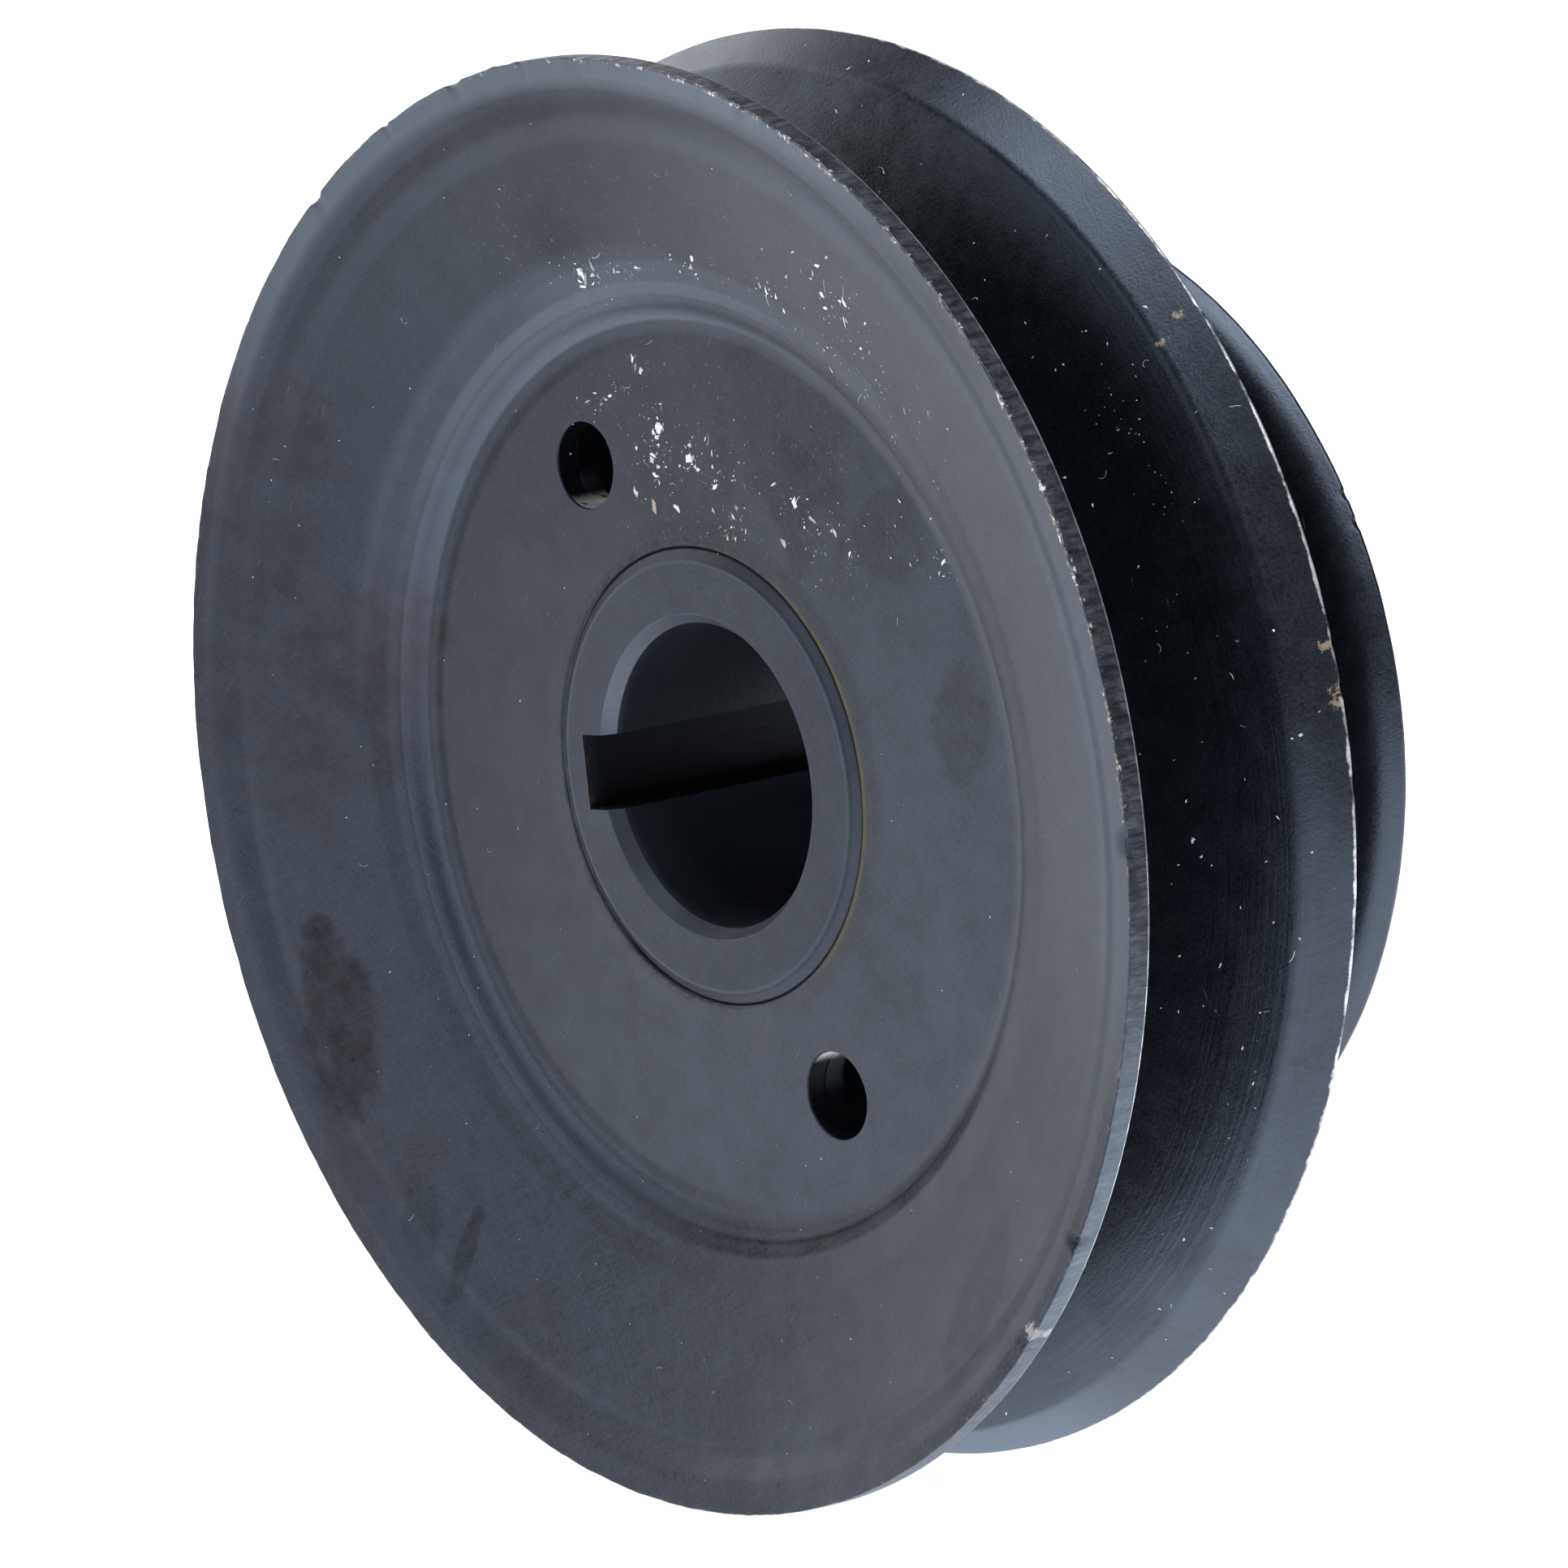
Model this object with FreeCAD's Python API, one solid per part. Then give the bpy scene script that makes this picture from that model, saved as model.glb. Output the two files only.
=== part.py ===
import FreeCAD, Part

import math
import os

# Stepped v belt pulley with two grooves, welded up from four pressed steel flanges on a bored hub.
# Row frame in millimetres: the bore runs along Y, the big front flange faces -Y and +Z is up.
# The origin is the middle of the hub's bore.

# Hub: 1 1/2 in bar, 1 in bore, 1/4 in keyway
HUB_R = 19.05
HUB_LENGTH = 44.45
HUB_CHAMFER_R = 1.05
HUB_CHAMFER_Y = 0.6
HUB_EDGE_ROUND = 0.4
BORE_R = 12.7
BORE_CHAMFER_R = 0.87
BORE_CHAMFER_Y = 1.2
KEY_WIDTH = 6.35
KEY_FLOOR = 15.6
KEY_ANGLE = 189.0

# Flanges
SHEET = 2.0
FRONT_RIM_Y = -31.325
FRONT_CONTACT_Y = -19.655
REAR_CONTACT_Y = 6.675
FRONT_RIM_R = 59.7
TRIM_R = 59.85
WEB_EDGE_ROUND = 0.6
RIM_EDGE_ROUND = 0.45

# Two drive holes through the front pair of webs
HOLE_R = 3.65
HOLE_PITCH_R = 28.575
HOLE_ANGLES = (124.0, 304.0)

# Welds
WELD_LEG = 4.0
WELD_CROWN = 0.5
NUGGET_DEPTH = 0.6
FRONT_NUGGET_R = 2.5
FRONT_NUGGET_PITCH_R = 28.575
FRONT_NUGGET_COUNT = 6
REAR_NUGGET_R = 1.8
REAR_NUGGET_PITCH_R = 24.9
REAR_NUGGET_COUNT = 4

# Sections of the pressings, one corner per line, from the hub outwards: radius, distance from the
# front rim or from the plane where the pair meets, bend radius on this side, bend radius on the other
FRONT_FACE = (
    (HUB_R, 9.67, 0, 0),
    (37.9, 9.67, 3.9, 5.9),
    (39.5, 8.02, 2.9, 0.9),
    (42.0, 7.20, 20.0, 18.0),
    (54.15, 2.39, 4.0, 2.0),
    (55.2, 2.11, 2.0, 4.0),
    (57.3, 0.62, 2.8, 0.8),
    (FRONT_RIM_R, 0.0, 0, 0),
)
MIDDLE_BELT_SIDE = (
    (HUB_R, 0.0, 0, 0),
    (38.7, 0.0, 5.9, 3.9),
    (40.6, 1.9, 0.9, 2.9),
    (42.7, 2.6, 18.0, 20.0),
    (57.67, 8.63, 1.6, 0.5),
    (60.30, 12.23, 0, 0),
)
INNER_BELT_SIDE = (
    (HUB_R, 0.0, 0, 0),
    (28.0, 0.0, 3.0, 1.0),
    (29.9, 2.9, 1.0, 3.0),
    (44.0, 8.5, 0, 0),
)
REAR_BELT_SIDE = (
    (HUB_R, 0.0, 0, 0),
    (28.0, 0.0, 3.0, 1.0),
    (29.6, 1.6, 1.0, 3.0),
    (42.4, 6.65, 3.5, 1.5),
    (43.62, 8.65, 0, 0),
)

AXIS_POINT = FreeCAD.Vector(0, 0, 0)
AXIS = FreeCAD.Vector(0, 1, 0)


def section_point(radius, y):
    """A point of a section, which lies in the XY half plane."""
    return FreeCAD.Vector(radius, y, 0)


def polar_point(radius, angle_deg, y):
    """A point at an angle around the bore, from +X towards +Z."""
    angle = math.radians(angle_deg)
    return FreeCAD.Vector(radius * math.cos(angle), y, radius * math.sin(angle))


def placed_line(corners, datum_y, towards, this_side=True):
    """Corners as (radius, y, bend radius), measured from datum_y in the direction towards."""
    line = []
    for radius, height, bend_here, bend_there in corners:
        bend = bend_here if this_side else bend_there
        line.append((radius, datum_y + towards * height, bend))
    return line


def offset_line(line, distance):
    """The line moved sideways by distance, to its left for a positive distance, with mitred corners."""
    normals = []
    for (r0, y0, _), (r1, y1, _) in zip(line, line[1:]):
        length = math.hypot(r1 - r0, y1 - y0)
        normals.append((-(y1 - y0) / length, (r1 - r0) / length))
    moved = []
    for index, (radius, y, bend) in enumerate(line):
        before = normals[max(index - 1, 0)]
        after = normals[min(index, len(normals) - 1)]
        scale = distance / (1 + before[0] * after[0] + before[1] * after[1])
        moved_r = radius + scale * (before[0] + after[0])
        moved_y = y + scale * (before[1] + after[1])
        moved.append((moved_r, moved_y, bend))
    return moved


def cut_at_radius(line, radius):
    """The line with its last segment ended, or carried on, at the given radius."""
    (r0, y0, _), (r1, y1, bend) = line[-2:]
    end_y = y0 + (y1 - y0) * (radius - r0) / (r1 - r0)
    return line[:-1] + [(radius, end_y, bend)]


def rounded_wire(corners):
    """A closed wire through the corners, with a tangent arc wherever a corner has a bend radius."""
    edges = []
    joins = []
    for index, (radius, y, bend) in enumerate(corners):
        here = section_point(radius, y)
        if bend == 0:
            joins.append((here, here))
            continue
        last = section_point(*corners[index - 1][:2])
        following = section_point(*corners[(index + 1) % len(corners)][:2])
        back = (last - here).normalize()
        ahead = (following - here).normalize()
        half = back.getAngle(ahead) / 2
        start = here + back * (bend / math.tan(half))
        end = here + ahead * (bend / math.tan(half))
        inwards = (back + ahead).normalize()
        middle = here + inwards * (bend / math.sin(half) - bend)
        edges.append(Part.Arc(start, middle, end).toShape())
        joins.append((start, end))
    for index, (_, end) in enumerate(joins):
        start = joins[(index + 1) % len(joins)][0]
        if end.distanceToPoint(start) > 1e-6:
            edges.append(Part.makeLine(end, start))
    return Part.Wire(Part.__sortEdges__(edges))


def turned(corners):
    """The solid swept by a closed section turned once around the bore's axis."""
    return Part.Face(rounded_wire(corners)).revolve(AXIS_POINT, AXIS, 360)


def pressing(belt_side, far_side):
    """A pressed flange between its two sides, each listed from the hub outwards."""
    return turned(belt_side + far_side[::-1])


def drilled(shape):
    """The shape with the two drive holes bored along Y through the front pair of webs."""
    for angle in HOLE_ANGLES:
        start = polar_point(HOLE_PITCH_R, angle, FRONT_CONTACT_Y - 4 * SHEET)
        shape = shape.cut(Part.makeCylinder(HOLE_R, 8 * SHEET, start, AXIS))
    return shape


def nugget_ring(radius, pitch_r, count, first_angle, y):
    """Lens-shaped weld nuggets on a circle, each half way into the sheets that meet in the plane y."""
    ball_r = (radius ** 2 + NUGGET_DEPTH ** 2) / (2 * NUGGET_DEPTH)
    shift = AXIS * (ball_r - NUGGET_DEPTH)
    nuggets = []
    for index in range(count):
        centre = polar_point(pitch_r, first_angle + 360.0 * index / count, y)
        near = Part.makeSphere(ball_r, centre - shift)
        far = Part.makeSphere(ball_r, centre + shift)
        nuggets.append(near.common(far))
    return Part.makeCompound(nuggets)


def hub_weld(y):
    """A fillet weld all round the hub, standing on a web's rear face at y, with a slightly crowned face."""
    corner = section_point(HUB_R, y)
    foot = section_point(HUB_R + WELD_LEG, y)
    toe = section_point(HUB_R, y + WELD_LEG)
    outwards = FreeCAD.Vector(1, 1, 0).normalize()
    crown = (foot + toe) * 0.5 + outwards * WELD_CROWN
    face = Part.Arc(foot, crown, toe).toShape()
    sides = [Part.makeLine(corner, foot), face, Part.makeLine(toe, corner)]
    return Part.Face(Part.Wire(sides)).revolve(AXIS_POINT, AXIS, 360)


def make_hub():
    """The bored and keyed bar, with its outer corners and its bore mouths chamfered."""
    end = HUB_LENGTH / 2
    corners = [
        (BORE_R, -end + BORE_CHAMFER_Y, 0),
        (BORE_R + BORE_CHAMFER_R, -end, 0),
        (HUB_R - HUB_CHAMFER_R, -end, HUB_EDGE_ROUND),
        (HUB_R, -end + HUB_CHAMFER_Y, HUB_EDGE_ROUND),
        (HUB_R, end - HUB_CHAMFER_Y, HUB_EDGE_ROUND),
        (HUB_R - HUB_CHAMFER_R, end, HUB_EDGE_ROUND),
        (BORE_R + BORE_CHAMFER_R, end, 0),
        (BORE_R, end - BORE_CHAMFER_Y, 0),
    ]
    hub = turned(corners)
    key = Part.makeBox(KEY_FLOOR, HUB_LENGTH + 2, KEY_WIDTH)
    key.translate(FreeCAD.Vector(0, -end - 1, -KEY_WIDTH / 2))
    key.rotate(AXIS_POINT, AXIS, -KEY_ANGLE)
    return hub.cut(key)


def make_front_flange(nuggets):
    """The big front pressing: web, step, cone, and a lip trimmed square to the rim."""
    face = placed_line(FRONT_FACE, FRONT_RIM_Y, 1)
    face[0] = (HUB_R, face[0][1], WEB_EDGE_ROUND)
    belt_side = offset_line(placed_line(FRONT_FACE, FRONT_RIM_Y, 1, this_side=False), SHEET)
    belt_side = cut_at_radius(belt_side, TRIM_R)
    belt_side[-1] = (TRIM_R, belt_side[-1][1], RIM_EDGE_ROUND)
    return drilled(pressing(belt_side, face)).cut(nuggets)


def make_formed_flange(corners, contact_y, towards, nuggets):
    """A pressing given by its belt side, which leaves the contact plane in the direction towards."""
    belt_side = placed_line(corners, contact_y, towards)
    belt_side[-1] = belt_side[-1][:2] + (RIM_EDGE_ROUND,)
    far_side = offset_line(placed_line(corners, contact_y, towards, this_side=False), towards * SHEET)
    return pressing(belt_side, far_side).cut(nuggets)


front_nuggets = nugget_ring(
    FRONT_NUGGET_R, FRONT_NUGGET_PITCH_R, FRONT_NUGGET_COUNT, HOLE_ANGLES[0] + 30, FRONT_CONTACT_Y)
rear_nuggets = nugget_ring(
    REAR_NUGGET_R, REAR_NUGGET_PITCH_R, REAR_NUGGET_COUNT, 45, REAR_CONTACT_Y)

nodes = {
    "hub": make_hub(),
    "front_flange": make_front_flange(front_nuggets),
    "middle_flange": drilled(make_formed_flange(MIDDLE_BELT_SIDE, FRONT_CONTACT_Y, 1, front_nuggets)),
    "inner_flange": make_formed_flange(INNER_BELT_SIDE, REAR_CONTACT_Y, -1, rear_nuggets),
    "rear_flange": make_formed_flange(REAR_BELT_SIDE, REAR_CONTACT_Y, 1, rear_nuggets),
    "front_web_nuggets": front_nuggets,
    "rear_web_nuggets": rear_nuggets,
    "middle_hub_weld": hub_weld(FRONT_CONTACT_Y + SHEET),
    "rear_hub_weld": hub_weld(REAR_CONTACT_Y + SHEET),
}

os.makedirs("parts", exist_ok=True)
for name, shape in nodes.items():
    shape.exportStep("parts/" + name + ".step")
    box = shape.optimalBoundingBox()
    print(name, shape.isValid(), len(shape.Solids), round(shape.Volume, 2), "r", round(box.XMax, 3),
          "y", round(box.YMin, 3), round(box.YMax, 3))
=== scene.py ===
import math

import bmesh
import bpy
import numpy as np
from mathutils import Euler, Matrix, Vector


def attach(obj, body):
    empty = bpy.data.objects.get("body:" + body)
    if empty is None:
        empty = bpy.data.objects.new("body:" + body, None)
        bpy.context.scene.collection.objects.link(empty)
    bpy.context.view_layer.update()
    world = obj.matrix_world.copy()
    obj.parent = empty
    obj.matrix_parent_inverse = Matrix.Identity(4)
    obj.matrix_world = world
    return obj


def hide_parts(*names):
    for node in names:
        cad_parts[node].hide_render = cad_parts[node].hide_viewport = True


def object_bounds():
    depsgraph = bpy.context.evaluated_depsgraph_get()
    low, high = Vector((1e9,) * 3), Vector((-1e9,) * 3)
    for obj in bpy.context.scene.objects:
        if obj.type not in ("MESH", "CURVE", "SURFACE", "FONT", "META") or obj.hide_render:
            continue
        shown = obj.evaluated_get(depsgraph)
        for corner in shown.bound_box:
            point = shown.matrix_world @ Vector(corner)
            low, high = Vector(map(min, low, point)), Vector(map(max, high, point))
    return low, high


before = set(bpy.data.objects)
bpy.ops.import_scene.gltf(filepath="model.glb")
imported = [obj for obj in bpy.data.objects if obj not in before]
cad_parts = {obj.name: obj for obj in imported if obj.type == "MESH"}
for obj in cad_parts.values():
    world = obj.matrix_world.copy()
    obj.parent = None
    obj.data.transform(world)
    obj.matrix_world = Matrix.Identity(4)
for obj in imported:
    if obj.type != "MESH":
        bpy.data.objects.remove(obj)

# The pulley's looks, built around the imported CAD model. Lengths are in millimetres until MM turns them
# into metres. The bore runs along Y, the big front flange faces -Y, and angles go from +X towards +Z.
MM = 0.001
cad_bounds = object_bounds()
rng = np.random.default_rng(11)

# -------- driving dimensions
SHEET = 2.0
HUB_R = 19.05
HUB_END_Y = 22.225
HUB_CHAMFER_R = 1.05
HUB_CHAMFER_Y = 0.6
HUB_EDGE_ROUND = 0.4
BORE_R = 12.7
BORE_CHAMFER_R = 0.87
BORE_CHAMFER_Y = 1.2
BORE_EDGE_ROUND = 0.12
KEY_HALF = 3.175
KEY_FLOOR = 15.6
KEY_ANGLE = 189.0
HOLE_R = 3.65
HOLE_PITCH_R = 28.575
HOLE_ANGLES = (124.0, 304.0)
WELD_LEG = 4.0

FRONT_RIM_Y = -31.325
FRONT_CONTACT_Y = -19.655
REAR_CONTACT_Y = 6.675
FRONT_RIM_R = 59.7
TRIM_R = 59.85

# Radii to which the sheared edges are worn round
WEB_EDGE_ROUND = 0.3
FRONT_CORNER_ROUND = 0.12
TRIM_CORNER_ROUND = 0.28
MIDDLE_EDGE_ROUND = 0.30
RIM_EDGE_ROUND = 0.45
FAR_EDGE_ROUND = 0.15
FRONT_HOLE_ROUND = 0.14
MIDDLE_HOLE_ROUND = 0.04

# The middle rim leans: how far its foremost point stands towards -Y, at which angle, and from and to
# which radius the lean grows
MIDDLE_RIM_TILT = 0.38
TILT_ANGLE = 15.0
TILT_RADII = (46.0, 58.0)

# The stretch of web that is meshed apart around each hole: its radii, and half its angle
HOLE_BLOCK_R = (23.2, 34.0)
HOLE_BLOCK_HALF = 10.5

# Sections from the hub outwards: radius, distance from the front rim or the contact plane,
# bend radius on this side, bend radius on the other side
FRONT_FACE = (
    (HUB_R, 9.67, 0, 0),
    (HOLE_BLOCK_R[0], 9.67, 0, 0),
    (HOLE_BLOCK_R[1], 9.67, 0, 0),
    (37.9, 9.67, 2.9, 4.9),
    (39.5, 8.02, 4.2, 2.2),
    (42.0, 7.20, 20.0, 18.0),
    (54.15, 2.39, 4.0, 2.0),
    (55.2, 2.11, 2.0, 4.0),
    (57.3, 0.62, 2.8, 0.8),
    (FRONT_RIM_R, 0.0, 0, 0),
)
MIDDLE_BELT_SIDE = (
    (HUB_R, 0.0, 0, 0),
    (HOLE_BLOCK_R[0], 0.0, 0, 0),
    (HOLE_BLOCK_R[1], 0.0, 0, 0),
    (38.7, 0.0, 5.9, 3.9),
    (40.6, 1.9, 0.9, 2.9),
    (42.7, 2.6, 18.0, 20.0),
    (57.67, 8.63, 1.6, 0.5),
    (60.30, 12.23, 0, 0),
)
INNER_BELT_SIDE = (
    (HUB_R, 0.0, 0, 0),
    (28.0, 0.0, 3.0, 1.0),
    (29.9, 2.9, 1.0, 3.0),
    (44.0, 8.5, 0, 0),
)
REAR_BELT_SIDE = (
    (HUB_R, 0.0, 0, 0),
    (28.0, 0.0, 3.0, 1.0),
    (29.6, 1.6, 1.0, 3.0),
    (42.4, 6.65, 3.5, 1.5),
    (43.62, 8.65, 0, 0),
)

# How finely the pieces are meshed: columns round the bore, millimetres along a straight run, degrees
# round a bend, how far from the ends of a run its outer points lie, and how close points are welded
TURN_STEPS = 1440
RUN_STEP = 1.3
ARC_STEP = 9.0
SUPPORT = 0.12
WELD_DISTANCE = 0.002


# -------- sections
def placed_line(corners, datum_y, towards, this_side=True):
    """Corners as (radius, y, bend radius), measured from datum_y in the direction towards."""
    return [(radius, datum_y + towards * height, here if this_side else there)
            for radius, height, here, there in corners]


def offset_line(line, distance):
    """The line moved sideways by distance, to its left for a positive distance, with mitred corners."""
    normals = []
    for (r0, y0, _), (r1, y1, _) in zip(line, line[1:]):
        length = math.hypot(r1 - r0, y1 - y0)
        normals.append((-(y1 - y0) / length, (r1 - r0) / length))
    moved = []
    for index, (radius, y, bend) in enumerate(line):
        before = normals[max(index - 1, 0)]
        after = normals[min(index, len(normals) - 1)]
        scale = distance / (1 + before[0] * after[0] + before[1] * after[1])
        moved.append((radius + scale * (before[0] + after[0]), y + scale * (before[1] + after[1]), bend))
    return moved


def cut_at_radius(line, radius):
    """The line with its last segment ended, or carried on, at the given radius."""
    (r0, y0, _), (r1, y1, bend) = line[-2:]
    return line[:-1] + [(radius, y0 + (y1 - y0) * (radius - r0) / (r1 - r0), bend)]


def unit(vector):
    """The vector at length 1."""
    return vector / np.linalg.norm(vector)


def rounded(corners):
    """Points of a closed section through the corners, with a tangent arc at each bend."""
    points = []
    for index, (radius, y, bend) in enumerate(corners):
        here = np.array((radius, y))
        if bend == 0:
            points.append(here)
            continue
        back = unit(np.array(corners[index - 1][:2]) - here)
        ahead = unit(np.array(corners[(index + 1) % len(corners)][:2]) - here)
        half = math.acos(np.clip(back @ ahead, -1, 1)) / 2
        centre = here + unit(back + ahead) * bend / math.sin(half)
        start = here + back * bend / math.tan(half) - centre
        end = here + ahead * bend / math.tan(half) - centre
        turn = math.pi - 2 * half
        steps = max(2, math.ceil(math.degrees(turn) / ARC_STEP))
        for step in range(steps + 1):
            part = step / steps
            spoke = math.sin((1 - part) * turn) * start + math.sin(part * turn) * end
            points.append(centre + spoke / math.sin(turn))
    return points


def filled(points, run_step=RUN_STEP):
    """The closed section with points added along its straight runs, closest near their ends."""
    result = []
    for index, here in enumerate(points):
        result.append(here)
        ahead = points[(index + 1) % len(points)]
        length = np.linalg.norm(ahead - here)
        if length < 4 * SUPPORT:
            continue
        steps = max(1, round((length - 2 * SUPPORT) / run_step))
        for step in range(steps + 1):
            along = SUPPORT + (length - 2 * SUPPORT) * step / steps
            result.append(here + (ahead - here) * along / length)
    return np.array(result)


def front_section():
    """The front flange's section: its face outwards, then its belt side back to the hub."""
    face = placed_line(FRONT_FACE, FRONT_RIM_Y, 1)
    face[0] = (HUB_R, face[0][1], WEB_EDGE_ROUND)
    face[-1] = face[-1][:2] + (FRONT_CORNER_ROUND,)
    belt_side = offset_line(placed_line(FRONT_FACE, FRONT_RIM_Y, 1, this_side=False), SHEET)
    belt_side = cut_at_radius(belt_side, TRIM_R)
    belt_side[-1] = (TRIM_R, belt_side[-1][1], TRIM_CORNER_ROUND)
    return filled(rounded(face + belt_side[::-1]))


def formed_section(corners, contact_y, towards, edge_round=RIM_EDGE_ROUND):
    """The section of a pressing given by its belt side: outwards along it, then back along the far side."""
    belt_side = placed_line(corners, contact_y, towards)
    belt_side[-1] = belt_side[-1][:2] + (edge_round,)
    far_side = offset_line(placed_line(corners, contact_y, towards, this_side=False), towards * SHEET)
    far_side[-1] = far_side[-1][:2] + (FAR_EDGE_ROUND,)
    return filled(rounded(belt_side + far_side[::-1]))


def rounded_face(corners, datum_y):
    """Points outwards along a face that looks towards -Y."""
    return np.array(rounded(placed_line(corners, datum_y, 1)))


def rim_place(corners, contact_y, towards):
    """Radius and Y of the rim of a pressing given by its belt side."""
    radius, height = corners[-1][:2]
    return radius, contact_y + towards * height


# -------- meshes
class MeshMaker:
    """Collects points and faces in blocks, and turns them into one closed Blender object."""

    def __init__(self):
        self.points = []
        self.faces = []
        self.count = 0

    def add(self, points):
        """Adds points, an array of any shape ending in 3, and returns their numbers in that shape."""
        flat = points.reshape(-1, 3)
        numbers = np.arange(self.count, self.count + len(flat)).reshape(points.shape[:-1])
        self.points.append(flat)
        self.count += len(flat)
        return numbers

    def bridge(self, ring_a, ring_b):
        """Four-sided faces between two closed rings of equal count."""
        self.faces.append(np.stack((ring_a, np.roll(ring_a, -1), np.roll(ring_b, -1), ring_b), axis=-1))

    def grow(self, ring, points):
        """Adds a ring of points, joins it to the ring before it and returns its numbers."""
        following = self.add(points)
        self.bridge(ring, following)
        return following

    def cells(self, grid, keep):
        """Faces over a grid that closes on itself both ways, where keep is true."""
        right = np.roll(grid, -1, axis=1)
        below = np.roll(grid, -1, axis=0)
        faces = np.stack((grid, right, np.roll(below, -1, axis=1), below), axis=-1)
        self.faces.append(faces[keep])

    def finish(self, name, material, slot, *replaced):
        """Makes the object, in metres, hides the CAD nodes it stands for and hangs it on the frame."""
        points = np.concatenate(self.points)
        faces = np.concatenate([block.reshape(-1, 4) for block in self.faces])
        used = np.unique(faces)
        renumber = np.zeros(len(points), int)
        renumber[used] = np.arange(len(used))
        mesh = bpy.data.meshes.new(name)
        mesh.from_pydata((points[used] * MM).tolist(), [], renumber[faces].tolist())
        clean(mesh)
        return place(mesh, name, material, slot, *replaced)


def clean(mesh, smooth=True):
    """Turns every face outwards and shades it flat or smooth. A smooth mesh has its doubled points welded."""
    work = bmesh.new()
    work.from_mesh(mesh)
    if smooth:
        bmesh.ops.remove_doubles(work, verts=work.verts, dist=WELD_DISTANCE * MM)
    bmesh.ops.recalc_face_normals(work, faces=work.faces)
    for face in work.faces:
        face.smooth = smooth
    work.to_mesh(mesh)
    work.free()


def place(mesh, name, material, slot, *replaced):
    """Puts a finished mesh in the scene as a piece of the pulley."""
    piece = bpy.data.objects.new(name, mesh)
    bpy.context.scene.collection.objects.link(piece)
    mesh.materials.append(material)
    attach(piece, "root")
    if replaced:
        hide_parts(*replaced)
    return piece


def polar(radius, y, angle):
    """Points at an angle in radians around the bore."""
    return np.stack(np.broadcast_arrays(radius * np.cos(angle), y, radius * np.sin(angle)), axis=-1)


def turn_angles(steps=TURN_STEPS):
    """Evenly spaced angles in radians, once round."""
    return np.arange(steps) * 2 * math.pi / steps


def wander(angle, knots, smooth=True):
    """A random closed curve from -1 to 1 over the angle, with that many turning points round the circle."""
    values = rng.uniform(-1, 1, knots)
    place_on = (angle % (2 * math.pi)) / (2 * math.pi) * knots
    low = np.floor(place_on).astype(int) % knots
    share = place_on - np.floor(place_on)
    if smooth:
        share = share * share * (3 - 2 * share)
    return values[low] * (1 - share) + values[(low + 1) % knots] * share


def dent(angle, centre_deg, half_width, radius):
    """A round-bottomed notch, 1 at its middle and 0 from half_width (mm along the rim) outwards."""
    away = (angle - math.radians(centre_deg) + math.pi) % (2 * math.pi) - math.pi
    return np.clip(1 - (away * radius / half_width) ** 2, 0, 1)


def drill_block(maker, grid, section, columns, rows_front, rows_back, hole_angle, edge_r):
    """Fills the two gaps left in a web around a hole, and lines the hole between them."""
    def gap_edge(rows):
        low, high = rows[0], rows[-1]
        bottom = grid[low, columns]
        right = grid[rows, columns[-1]]
        top = grid[high, columns][::-1]
        left = grid[rows, columns[0]][::-1]
        return np.concatenate((bottom[:-1], right[:-1], top[:-1], left[:-1]))

    all_points = np.concatenate(maker.points)
    centre = polar(HOLE_PITCH_R, 0.0, math.radians(hole_angle))
    front_edge = gap_edge(rows_front)
    back_edge = gap_edge(rows_back)
    edge_points = all_points[front_edge]
    around = np.arctan2(edge_points[:, 2] - centre[2], edge_points[:, 0] - centre[0])
    ragged = 1 + 0.006 * wander(around, 17) + 0.003 * wander(around, 60)

    def circle(radius, y):
        return centre + np.stack((radius * ragged * np.cos(around), np.full_like(around, y),
                                  radius * ragged * np.sin(around)), axis=-1)

    front_y = section[rows_front[0], 1]
    back_y = section[rows_back[0], 1]
    inwards = math.copysign(1, back_y - front_y)
    profile = []
    for step in range(6):
        turn = math.radians(90 * step / 5)
        edge_y = front_y + inwards * edge_r * (1 - math.cos(turn))
        profile.append((HOLE_R + edge_r * (1 - math.sin(turn)), edge_y))
    for share in (0.45, 0.6, 0.75, 0.9):
        profile.append((HOLE_R, front_y + share * (back_y - front_y)))
    profile.append((HOLE_R + 0.03, back_y))

    ring = front_edge
    mouth = circle(*profile[0])
    for share in (0.25, 0.5, 0.7, 0.85, 0.95):
        ring = maker.grow(ring, edge_points + (mouth - edge_points) * share)
    for radius, y in profile:
        ring = maker.grow(ring, circle(radius, y))
    back_points = all_points[back_edge]
    mouth = circle(*profile[-1])
    for share in (0.2, 0.5, 0.8):
        ring = maker.grow(ring, mouth + (back_points - mouth) * share)
    maker.bridge(ring, back_edge)


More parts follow.
